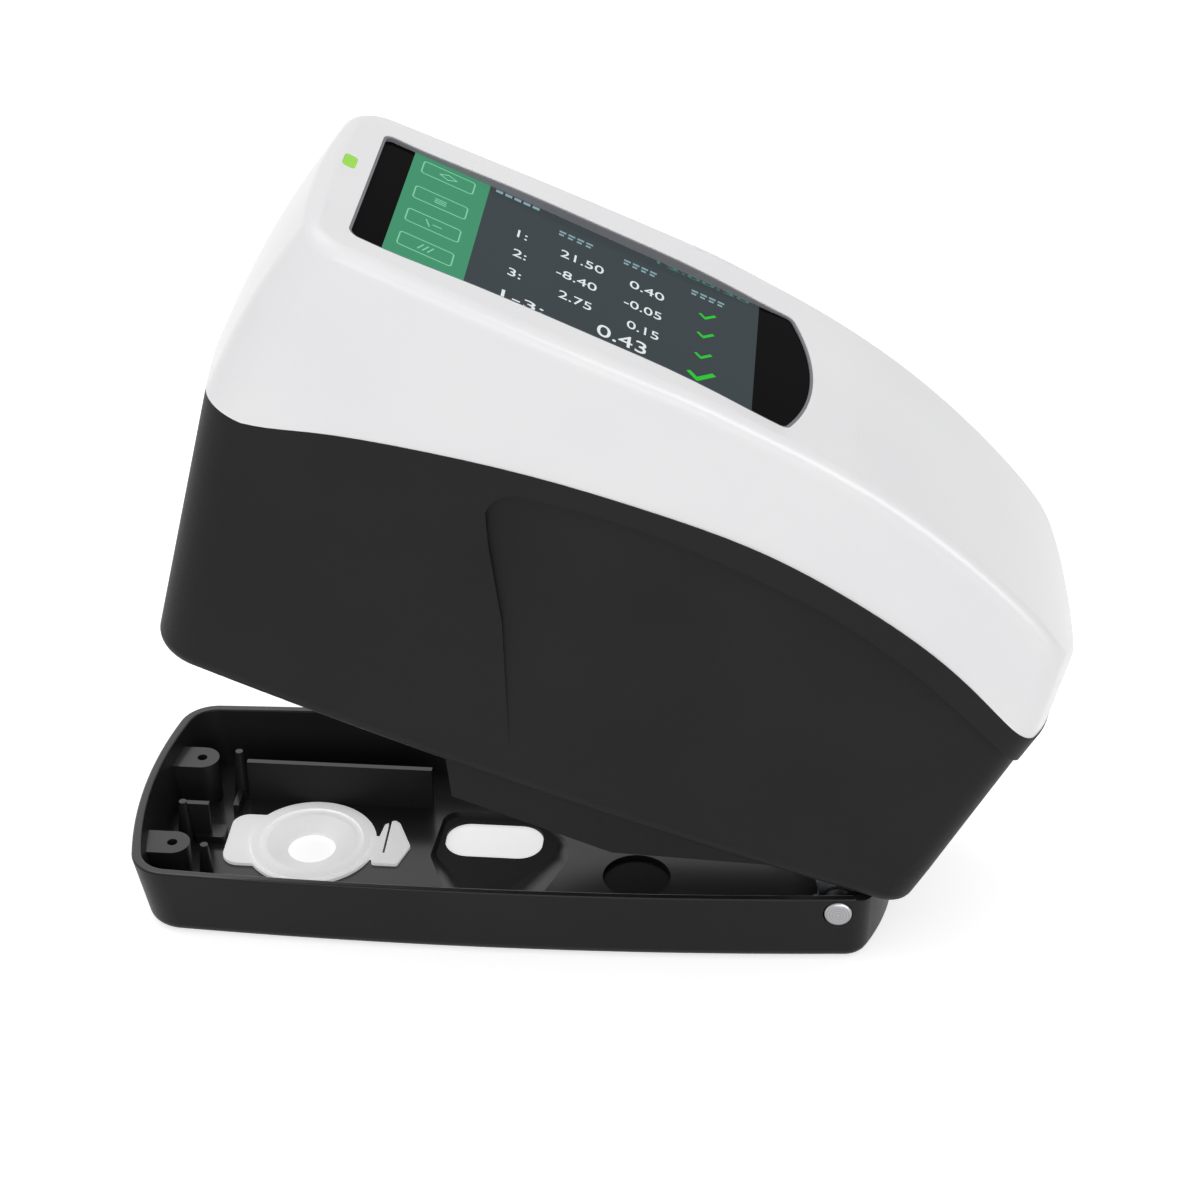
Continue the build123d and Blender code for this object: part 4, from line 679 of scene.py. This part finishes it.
class COLORIMETER_OT_inner_parts(Operator):
    """Finish the boards, lamps, sphere, battery, feet and small black parts"""

    bl_idname = "colorimeter.inner_parts"
    bl_label = "Inner Parts"

    def execute(self, context):
        tint = context.scene.colorimeter_colours
        board, tree = new_material("green_solder_mask")
        if tree:
            place = add_node(tree, "ShaderNodeTexCoord").outputs["Object"]
            # copper tracks under the mask, one every 2.5 mm
            tracks = add_node(
                tree,
                "ShaderNodeTexBrick",
                {
                    "Scale": 1.0,
                    "Mortar Size": 0.0004,
                    "Brick Width": 0.009,
                    "Row Height": 0.0025,
                    "Color1": shaded(tint.board),
                    "Color2": shaded([c * 0.85 for c in tint.board]),
                    "Mortar": shaded(linear("#2c8a58")),
                },
                {"Vector": place},
            )
            shader = add_node(
                tree,
                "ShaderNodeBsdfPrincipled",
                {"Roughness": 0.3, "Specular IOR Level": 0.5},
                {"Base Color": tracks.outputs["Color"]},
            )
            close(tree, shader)
        dress(board, "main_board", "lamp_board", "sensor_board", "button_board", "socket_board")
        # moulded resin of small electronic parts: matte black
        dress(
            moulded_plastic(
                "matte_black_resin", linear("#1a1a1b"), linear("#222223"),
                roughness=0.5, grain_mm=0.3, relief=0.1, specular=0.3,
            ),
            "sounder", "line_sensor", "button_switches",
        )
        # pressed diffuse white, so matte that it has almost no shine
        dress(
            moulded_plastic(
                "sintered_diffuse_white", linear("#f1f1ee"), linear("#ebebe7"),
                roughness=0.9, grain_mm=0.3, relief=0.15, specular=0.1,
            ),
            "sphere_lower", "sphere_upper",
        )
        # phosphor under clear resin: pale yellow with a soft shine
        dress(
            moulded_plastic(
                "lamp_phosphor", linear("#e8d67a"), linear("#f2e7ad"),
                roughness=0.3, grain_mm=0.4, relief=0.1, specular=0.5,
            ),
            "lamps",
        )
        # moulded rubber with a talc bloom
        dress(
            moulded_plastic(
                "moulded_foot_rubber", linear("#1d1d1d"), linear("#262626"),
                roughness=0.75, grain_mm=0.5, relief=0.2, specular=0.2,
            ),
            "foot_pads",
        )
        # shrink film, wrinkled 3 mm apart and glossy
        dress(
            moulded_plastic(
                "battery_shrink_film", tint.battery, linear("#25406a"),
                roughness=0.22, grain_mm=3.0, relief=0.3, specular=0.5,
            ),
            "battery_pack",
        )
        # the panel's moulded back, under the glass
        dress(
            moulded_plastic(
                "display_back_shell", linear("#202224"), linear("#2a2c2f"),
                roughness=0.35, grain_mm=0.5, relief=0.05, specular=0.4,
            ),
            "display_panel",
        )
        return {"FINISHED"}


# ---------------------------------------------------------------- the lit screen, in metres on the glass
SCREEN = (0.0074, 0.0884, -0.0246, 0.0246)  # the lit area: x from, x to, y from, y to
MENU_END = 0.0248  # where the green strip meets the page

MENU_ROWS = (0.0194, 0.0068, -0.0044, -0.0156)  # centres of the four framed buttons, across the screen
BUTTON_ENDS = (0.0097, 0.0217)  # x from and to
BUTTON_HALF = 0.0030  # half a button's size across
BUTTON_CORNER = 0.0009
MARK_CENTRE = 0.0157  # x of the marks in the buttons
MARK_REACH = 0.0012  # half a mark's size

FIGURE_ROWS = (0.0068, -0.0021, -0.0112)  # foot of each row of figures
FIGURE_TALL = 0.0033
NUMBER_X = 0.0330  # where each row's number starts
SECOND_END = 0.0667  # where the second column of figures ends
FIGURE_TEXTS = (  # a row's number, first figures with x from and to, second figures with x from
    ("1", "21.50", 0.0429, 0.0527, "0.40", 0.0588),
    ("2", "-8.40", 0.0428, 0.0519, "-0.05", 0.0582),
    ("3", "2.75", 0.0443, 0.0516, "0.15", 0.0596),
)
LARGE_FIGURES = (  # the lowest row, each with x from and to, y from and to
    ("1-3:", 0.0328, 0.0420, -0.0216, -0.0183),
    ("0.43", 0.0536, 0.0645, -0.0196, -0.0148),
)
CLOCK = ("12:00:30", 0.0640, 0.0860, 0.0232, 0.0244)

TITLE_BARS = (0.0262, 0.0368, 0.0229, 0.0240)  # x from and to, y from and to
TITLE_COUNT = 5
COLUMN_BARS = ((0.0416, 0.0499), (0.0567, 0.0648), (0.0726, 0.0808))  # x from and to over each column
COLUMN_COUNT = 4
UPPER_LINE = (0.0175, 0.0182)  # y from and to of the bars over a column
LOWER_LINE = (0.0161, 0.0168)
LONG_BAR, SHORT_BAR = 0.75, 0.55  # how much of its place a bar fills

TICKS = ((0.0088, 1.0), (0.0001, 1.0), (-0.0092, 1.0), (-0.0181, 1.6))  # y of each tick, and its scale
TICK_X = 0.0768
TICK_REACH = 0.0016
TICK_WIDTH = 0.0007


class COLORIMETER_OT_screen(Operator):
    """Lay the lit page and the green menu strip on the glass"""

    bl_idname = "colorimeter.screen"
    bl_label = "Screen Page and Menu"

    def execute(self, context):
        tint = context.scene.colorimeter_colours
        rise = context.scene.colorimeter_sizes.plate_rise
        place = glass_frame()
        x0, x1, y0, y1 = SCREEN
        page = bmesh.new()
        add_plate(page, MENU_END, x1, y0, y1, -rise, rise)
        slate = lit_layer("lit_slate_page", tint.slate, 1.0)
        finish_piece(page, "screen_page", "head", slate, place)
        strip = bmesh.new()
        add_plate(strip, x0, MENU_END, y0, y1, -rise, rise)
        green = lit_layer("lit_green_menu", tint.menu, 1.0)
        finish_piece(strip, "screen_menu_strip", "head", green, place)
        return {"FINISHED"}


class COLORIMETER_OT_menu_buttons(Operator):
    """Draw the framed menu buttons with a plain mark in each"""

    bl_idname = "colorimeter.menu_buttons"
    bl_label = "Menu Buttons"

    def execute(self, context):
        tint = context.scene.colorimeter_colours
        sizes = context.scene.colorimeter_sizes
        low, high = sizes.plate_rise, sizes.plate_rise + sizes.figure_rise
        line = sizes.frame_line
        shape = bmesh.new()
        centre, reach = MARK_CENTRE, MARK_REACH
        for row, y in enumerate(MENU_ROWS):
            add_frame(shape, *BUTTON_ENDS, y - BUTTON_HALF, y + BUTTON_HALF, low, high, line, BUTTON_CORNER)
            strokes = []
            if row == 0:
                # a plain lozenge
                corners = ((-reach * 1.6, 0), (0, reach), (reach * 1.6, 0), (0, -reach))
                for (ax, ay), (bx, by) in zip(corners, corners[1:] + corners[:1]):
                    strokes.append(((centre + ax, y + ay), (centre + bx, y + by)))
            elif row == 1:
                # three short level bars
                for step in (-1, 0, 1):
                    level = y + step * reach * 0.7
                    strokes.append(((centre - reach, level), (centre + reach, level)))
            elif row == 2:
                # a slanted bar and a dash
                strokes.append(((centre - reach * 1.4, y + reach), (centre - reach * 0.6, y - reach)))
                strokes.append(((centre, y), (centre + reach * 1.5, y)))
            else:
                # three slanted bars
                for step in (-1, 0, 1):
                    x = centre + step * reach * 0.9
                    strokes.append(((x - reach * 0.4, y - reach), (x + reach * 0.4, y + reach)))
            for start, end in strokes:
                add_stroke(shape, start, end, line, low, high)
        material = lit_layer("lit_menu_lines", tint.menu_line, 1.0)
        finish_piece(shape, "screen_menu_buttons", "head", material, glass_frame())
        return {"FINISHED"}


class COLORIMETER_OT_figures(Operator):
    """Write the rows of plain figures, the column bars and the ticks"""

    bl_idname = "colorimeter.figures"
    bl_label = "Screen Figures"

    def execute(self, context):
        tint = context.scene.colorimeter_colours
        sizes = context.scene.colorimeter_sizes
        low, high = sizes.plate_rise, sizes.plate_rise + sizes.figure_rise
        place = glass_frame()
        shape = bmesh.new()
        for foot, (number, first, first_x0, first_x1, second, second_x0) in zip(FIGURE_ROWS, FIGURE_TEXTS):
            top = foot + FIGURE_TALL
            add_figures(shape, number + ":", NUMBER_X, None, foot, top, low, high)
            add_figures(shape, first, first_x0, first_x1, foot, top, low, high)
            add_figures(shape, second, second_x0, SECOND_END, foot, top, low, high)
        for figures in LARGE_FIGURES:
            add_figures(shape, *figures, low, high)
        figures = lit_layer("lit_white_figures", tint.digits, 1.0)
        finish_piece(shape, "screen_figures", "head", figures, place)

        bars = bmesh.new()
        x0, x1, y0, y1 = TITLE_BARS
        width = (x1 - x0) / TITLE_COUNT
        for step in range(TITLE_COUNT):
            add_plate(bars, x0 + step * width, x0 + (step + LONG_BAR) * width, y0, y1, low, high)
        for x0, x1 in COLUMN_BARS:
            width = (x1 - x0) / COLUMN_COUNT
            for step in range(COLUMN_COUNT):
                left = x0 + step * width
                add_plate(bars, left, left + LONG_BAR * width, *UPPER_LINE, low, high)
                add_plate(bars, left, left + SHORT_BAR * width, *LOWER_LINE, low, high)
        headings = lit_layer("lit_heading_bars", tint.heading, 0.9)
        finish_piece(bars, "screen_column_bars", "head", headings, place)

        clock = bmesh.new()
        add_figures(clock, *CLOCK, low, high)
        teal = lit_layer("lit_clock_figures", tint.clock, 0.9)
        finish_piece(clock, "screen_clock", "head", teal, place)

        ticks = bmesh.new()
        for y, size in TICKS:
            reach = TICK_REACH * size
            width = TICK_WIDTH * size
            foot = (TICK_X - reach * 0.3, y - reach * 0.7)
            add_stroke(ticks, (TICK_X - reach, y), foot, width, low, high)
            add_stroke(ticks, foot, (TICK_X + reach, y + reach), width, low, high)
        bright = lit_layer("lit_green_ticks", tint.tick, 1.0)
        finish_piece(ticks, "screen_ticks", "head", bright, place)
        return {"FINISHED"}


# ---------------------------------------------------------------- stage, in metres, watts and degrees
ROOM_LIGHT = 0.62  # strength of the white world where it only lights the object
PAPER_GREY = 0.82  # the floor's own colour, as linear light
PAPER_GLOW = 0.6  # the floor's glow where it is seen or mirrored, so that it comes out white
FLOOR_HALF = 4.0
FLOOR_DROP = 0.0002  # how far the floor lies under the tray
SOFTBOXES = (  # name, place, width, power
    ("key_softbox", (0.1, -1.25, 0.5), 0.9, 4.4),
    ("fill_softbox", (0.95, -0.75, 0.75), 0.9, 0.2),
    ("top_softbox", (-0.4, 0.25, 1.4), 1.1, 4.3),
)
STRIP_START, STRIP_END = Vector((0.35, -0.6, 1.05)), Vector((1.15, -0.4, 0.2))
STRIP_WIDTH = 0.4
STRIP_RADIANCE = 4.0  # power of the strip light over pi and its area
SENSOR_WIDTH = 36.0  # millimetres
CAMERA_PLACE = (-0.01285, -0.4951, 0.3923)
CAMERA_AZIMUTH, CAMERA_ELEVATION, CAMERA_ROLL = 4.94, 32.43, -0.30


def white_where_seen(tree, rays, low, high):
    """A strength that is high for rays of these kinds, and low for the light that falls on the object."""
    path = add_node(tree, "ShaderNodeLightPath")
    seen = path.outputs[rays[0]]
    for ray in rays[1:]:
        either = add_node(
            tree, "ShaderNodeMath", {"operation": "MAXIMUM"}, {0: seen, 1: path.outputs[ray]}
        )
        seen = either.outputs[0]
    level = add_node(tree, "ShaderNodeMapRange", {"To Min": low, "To Max": high}, {"Value": seen})
    return level.outputs[0]


def light_room(scene):
    """A white world that lights the object evenly, and is plain white where it is seen."""
    world = bpy.data.worlds.new("white_studio")
    scene.world = world
    world.use_nodes = True
    tree = world.node_tree
    tree.nodes.clear()
    rays = ("Is Camera Ray", "Is Glossy Ray", "Is Transmission Ray")
    level = white_where_seen(tree, rays, ROOM_LIGHT, 1.0)
    sky = add_node(tree, "ShaderNodeBackground", {"Color": (1, 1, 1, 1)}, {"Strength": level})
    add_node(tree, "ShaderNodeOutputWorld", links={"Surface": sky.outputs[0]})


def lay_floor(scene):
    """A sheet of white paper just under the tray, which keeps the object's shadow."""
    shape = bmesh.new()
    bmesh.ops.create_grid(shape, x_segments=1, y_segments=1, size=FLOOR_HALF)
    mesh = bpy.data.meshes.new("studio_floor")
    shape.to_mesh(mesh)
    shape.free()
    mesh.transform(Matrix.Translation((0, 0, cad_box[0].z - FLOOR_DROP)))
    floor = bpy.data.objects.new("studio_floor", mesh)
    scene.collection.objects.link(floor)
    paper, tree = new_material("white_studio_paper")
    glow = white_where_seen(tree, ("Is Camera Ray", "Is Glossy Ray"), 0.0, PAPER_GLOW)
    shader = add_node(
        tree,
        "ShaderNodeBsdfPrincipled",
        {
            "Base Color": (PAPER_GREY, PAPER_GREY, PAPER_GREY, 1),
            "Roughness": 0.9,
            "Specular IOR Level": 0.0,
            "Emission Color": (1, 1, 1, 1),
        },
        {"Emission Strength": glow},
    )
    close(tree, shader)
    mesh.materials.append(paper)


def add_softboxes(scene, middle):
    """Three round soft lamps that look at the object's middle."""
    for name, place, width, power in SOFTBOXES:
        lamp = bpy.data.lights.new(name, "AREA")
        lamp.shape = "DISK"
        lamp.size = width
        lamp.energy = power
        holder = bpy.data.objects.new(name, lamp)
        holder.location = Vector(place)
        holder.rotation_euler = (middle - Vector(place)).to_track_quat("-Z", "Y").to_euler()
        scene.collection.objects.link(holder)


def add_edge_strip(scene, middle):
    """A strip light seen only in the sheen: it draws the thin bright line along the cover's upper edge."""
    strip = bpy.data.lights.new("edge_strip", "AREA")
    strip.shape = "RECTANGLE"
    strip.size = (STRIP_END - STRIP_START).length
    strip.size_y = STRIP_WIDTH
    strip.energy = STRIP_RADIANCE * math.pi * strip.size * strip.size_y
    holder = bpy.data.objects.new("edge_strip", strip)
    spot = (STRIP_START + STRIP_END) / 2
    outward = (spot - middle).normalized()
    run = (STRIP_END - STRIP_START).normalized()
    side = outward.cross(run).normalized()
    run = side.cross(outward)
    holder.matrix_world = Matrix.Translation(spot) @ Matrix((run, side, outward)).transposed().to_4x4()
    holder.visible_diffuse = False
    scene.collection.objects.link(holder)


def add_camera(scene):
    """The camera at the photograph's viewing angle."""
    lens = bpy.data.cameras.new("studio_camera")
    lens.sensor_fit = "HORIZONTAL"
    lens.sensor_width = SENSOR_WIDTH
    lens.lens = scene.colorimeter_sizes.camera_lens
    lens.clip_start = 0.01
    camera = bpy.data.objects.new("studio_camera", lens)
    scene.collection.objects.link(camera)
    azimuth, elevation = math.radians(CAMERA_AZIMUTH), math.radians(CAMERA_ELEVATION)
    roll = math.radians(CAMERA_ROLL)
    back = Vector((
        math.sin(azimuth) * math.cos(elevation),
        -math.cos(azimuth) * math.cos(elevation),
        math.sin(elevation),
    ))
    right = Vector((math.cos(azimuth), math.sin(azimuth), 0))
    up = back.cross(right)
    turned_right = right * math.cos(roll) + up * math.sin(roll)
    turned_up = up * math.cos(roll) - right * math.sin(roll)
    turn = Matrix((turned_right, turned_up, back)).transposed().to_4x4()
    camera.matrix_world = Matrix.Translation(CAMERA_PLACE) @ turn
    scene.camera = camera


class COLORIMETER_OT_stage(Operator):
    """Set up the white floor, the soft studio light and the camera"""

    bl_idname = "colorimeter.stage"
    bl_label = "Studio"

    def execute(self, context):
        scene = context.scene
        scene.view_settings.view_transform = "Standard"
        middle = (cad_box[0] + cad_box[1]) / 2
        light_room(scene)
        lay_floor(scene)
        add_softboxes(scene, middle)
        add_edge_strip(scene, middle)
        add_camera(scene)
        return {"FINISHED"}


STEPS = (
    COLORIMETER_OT_shells,
    COLORIMETER_OT_ring,
    COLORIMETER_OT_window,
    COLORIMETER_OT_metalwork,
    COLORIMETER_OT_inner_parts,
    COLORIMETER_OT_screen,
    COLORIMETER_OT_menu_buttons,
    COLORIMETER_OT_figures,
    COLORIMETER_OT_stage,
)


class COLORIMETER_PT_panel(Panel):
    """Lists the steps that dress the instrument, and its colours and sizes"""

    bl_idname = "COLORIMETER_PT_panel"
    bl_label = "Colorimeter"
    bl_space_type = "VIEW_3D"
    bl_region_type = "UI"
    bl_category = "Colorimeter"

    def draw(self, context):
        layout = self.layout
        for step in STEPS:
            layout.operator(step.bl_idname)
        for group in (context.scene.colorimeter_colours, context.scene.colorimeter_sizes):
            for name in group.__annotations__:
                layout.prop(group, name)


CLASSES = (ColorimeterColours, ColorimeterSizes, *STEPS, COLORIMETER_PT_panel)


def register():
    for cls in CLASSES:
        bpy.utils.register_class(cls)
    bpy.types.Scene.colorimeter_colours = PointerProperty(type=ColorimeterColours)
    bpy.types.Scene.colorimeter_sizes = PointerProperty(type=ColorimeterSizes)


def unregister():
    del bpy.types.Scene.colorimeter_sizes
    del bpy.types.Scene.colorimeter_colours
    for cls in reversed(CLASSES):
        bpy.utils.unregister_class(cls)


def main():
    register()
    for step in STEPS:
        group, name = step.bl_idname.split(".")
        getattr(getattr(bpy.ops, group), name)()


if __name__ == "__main__":
    main()
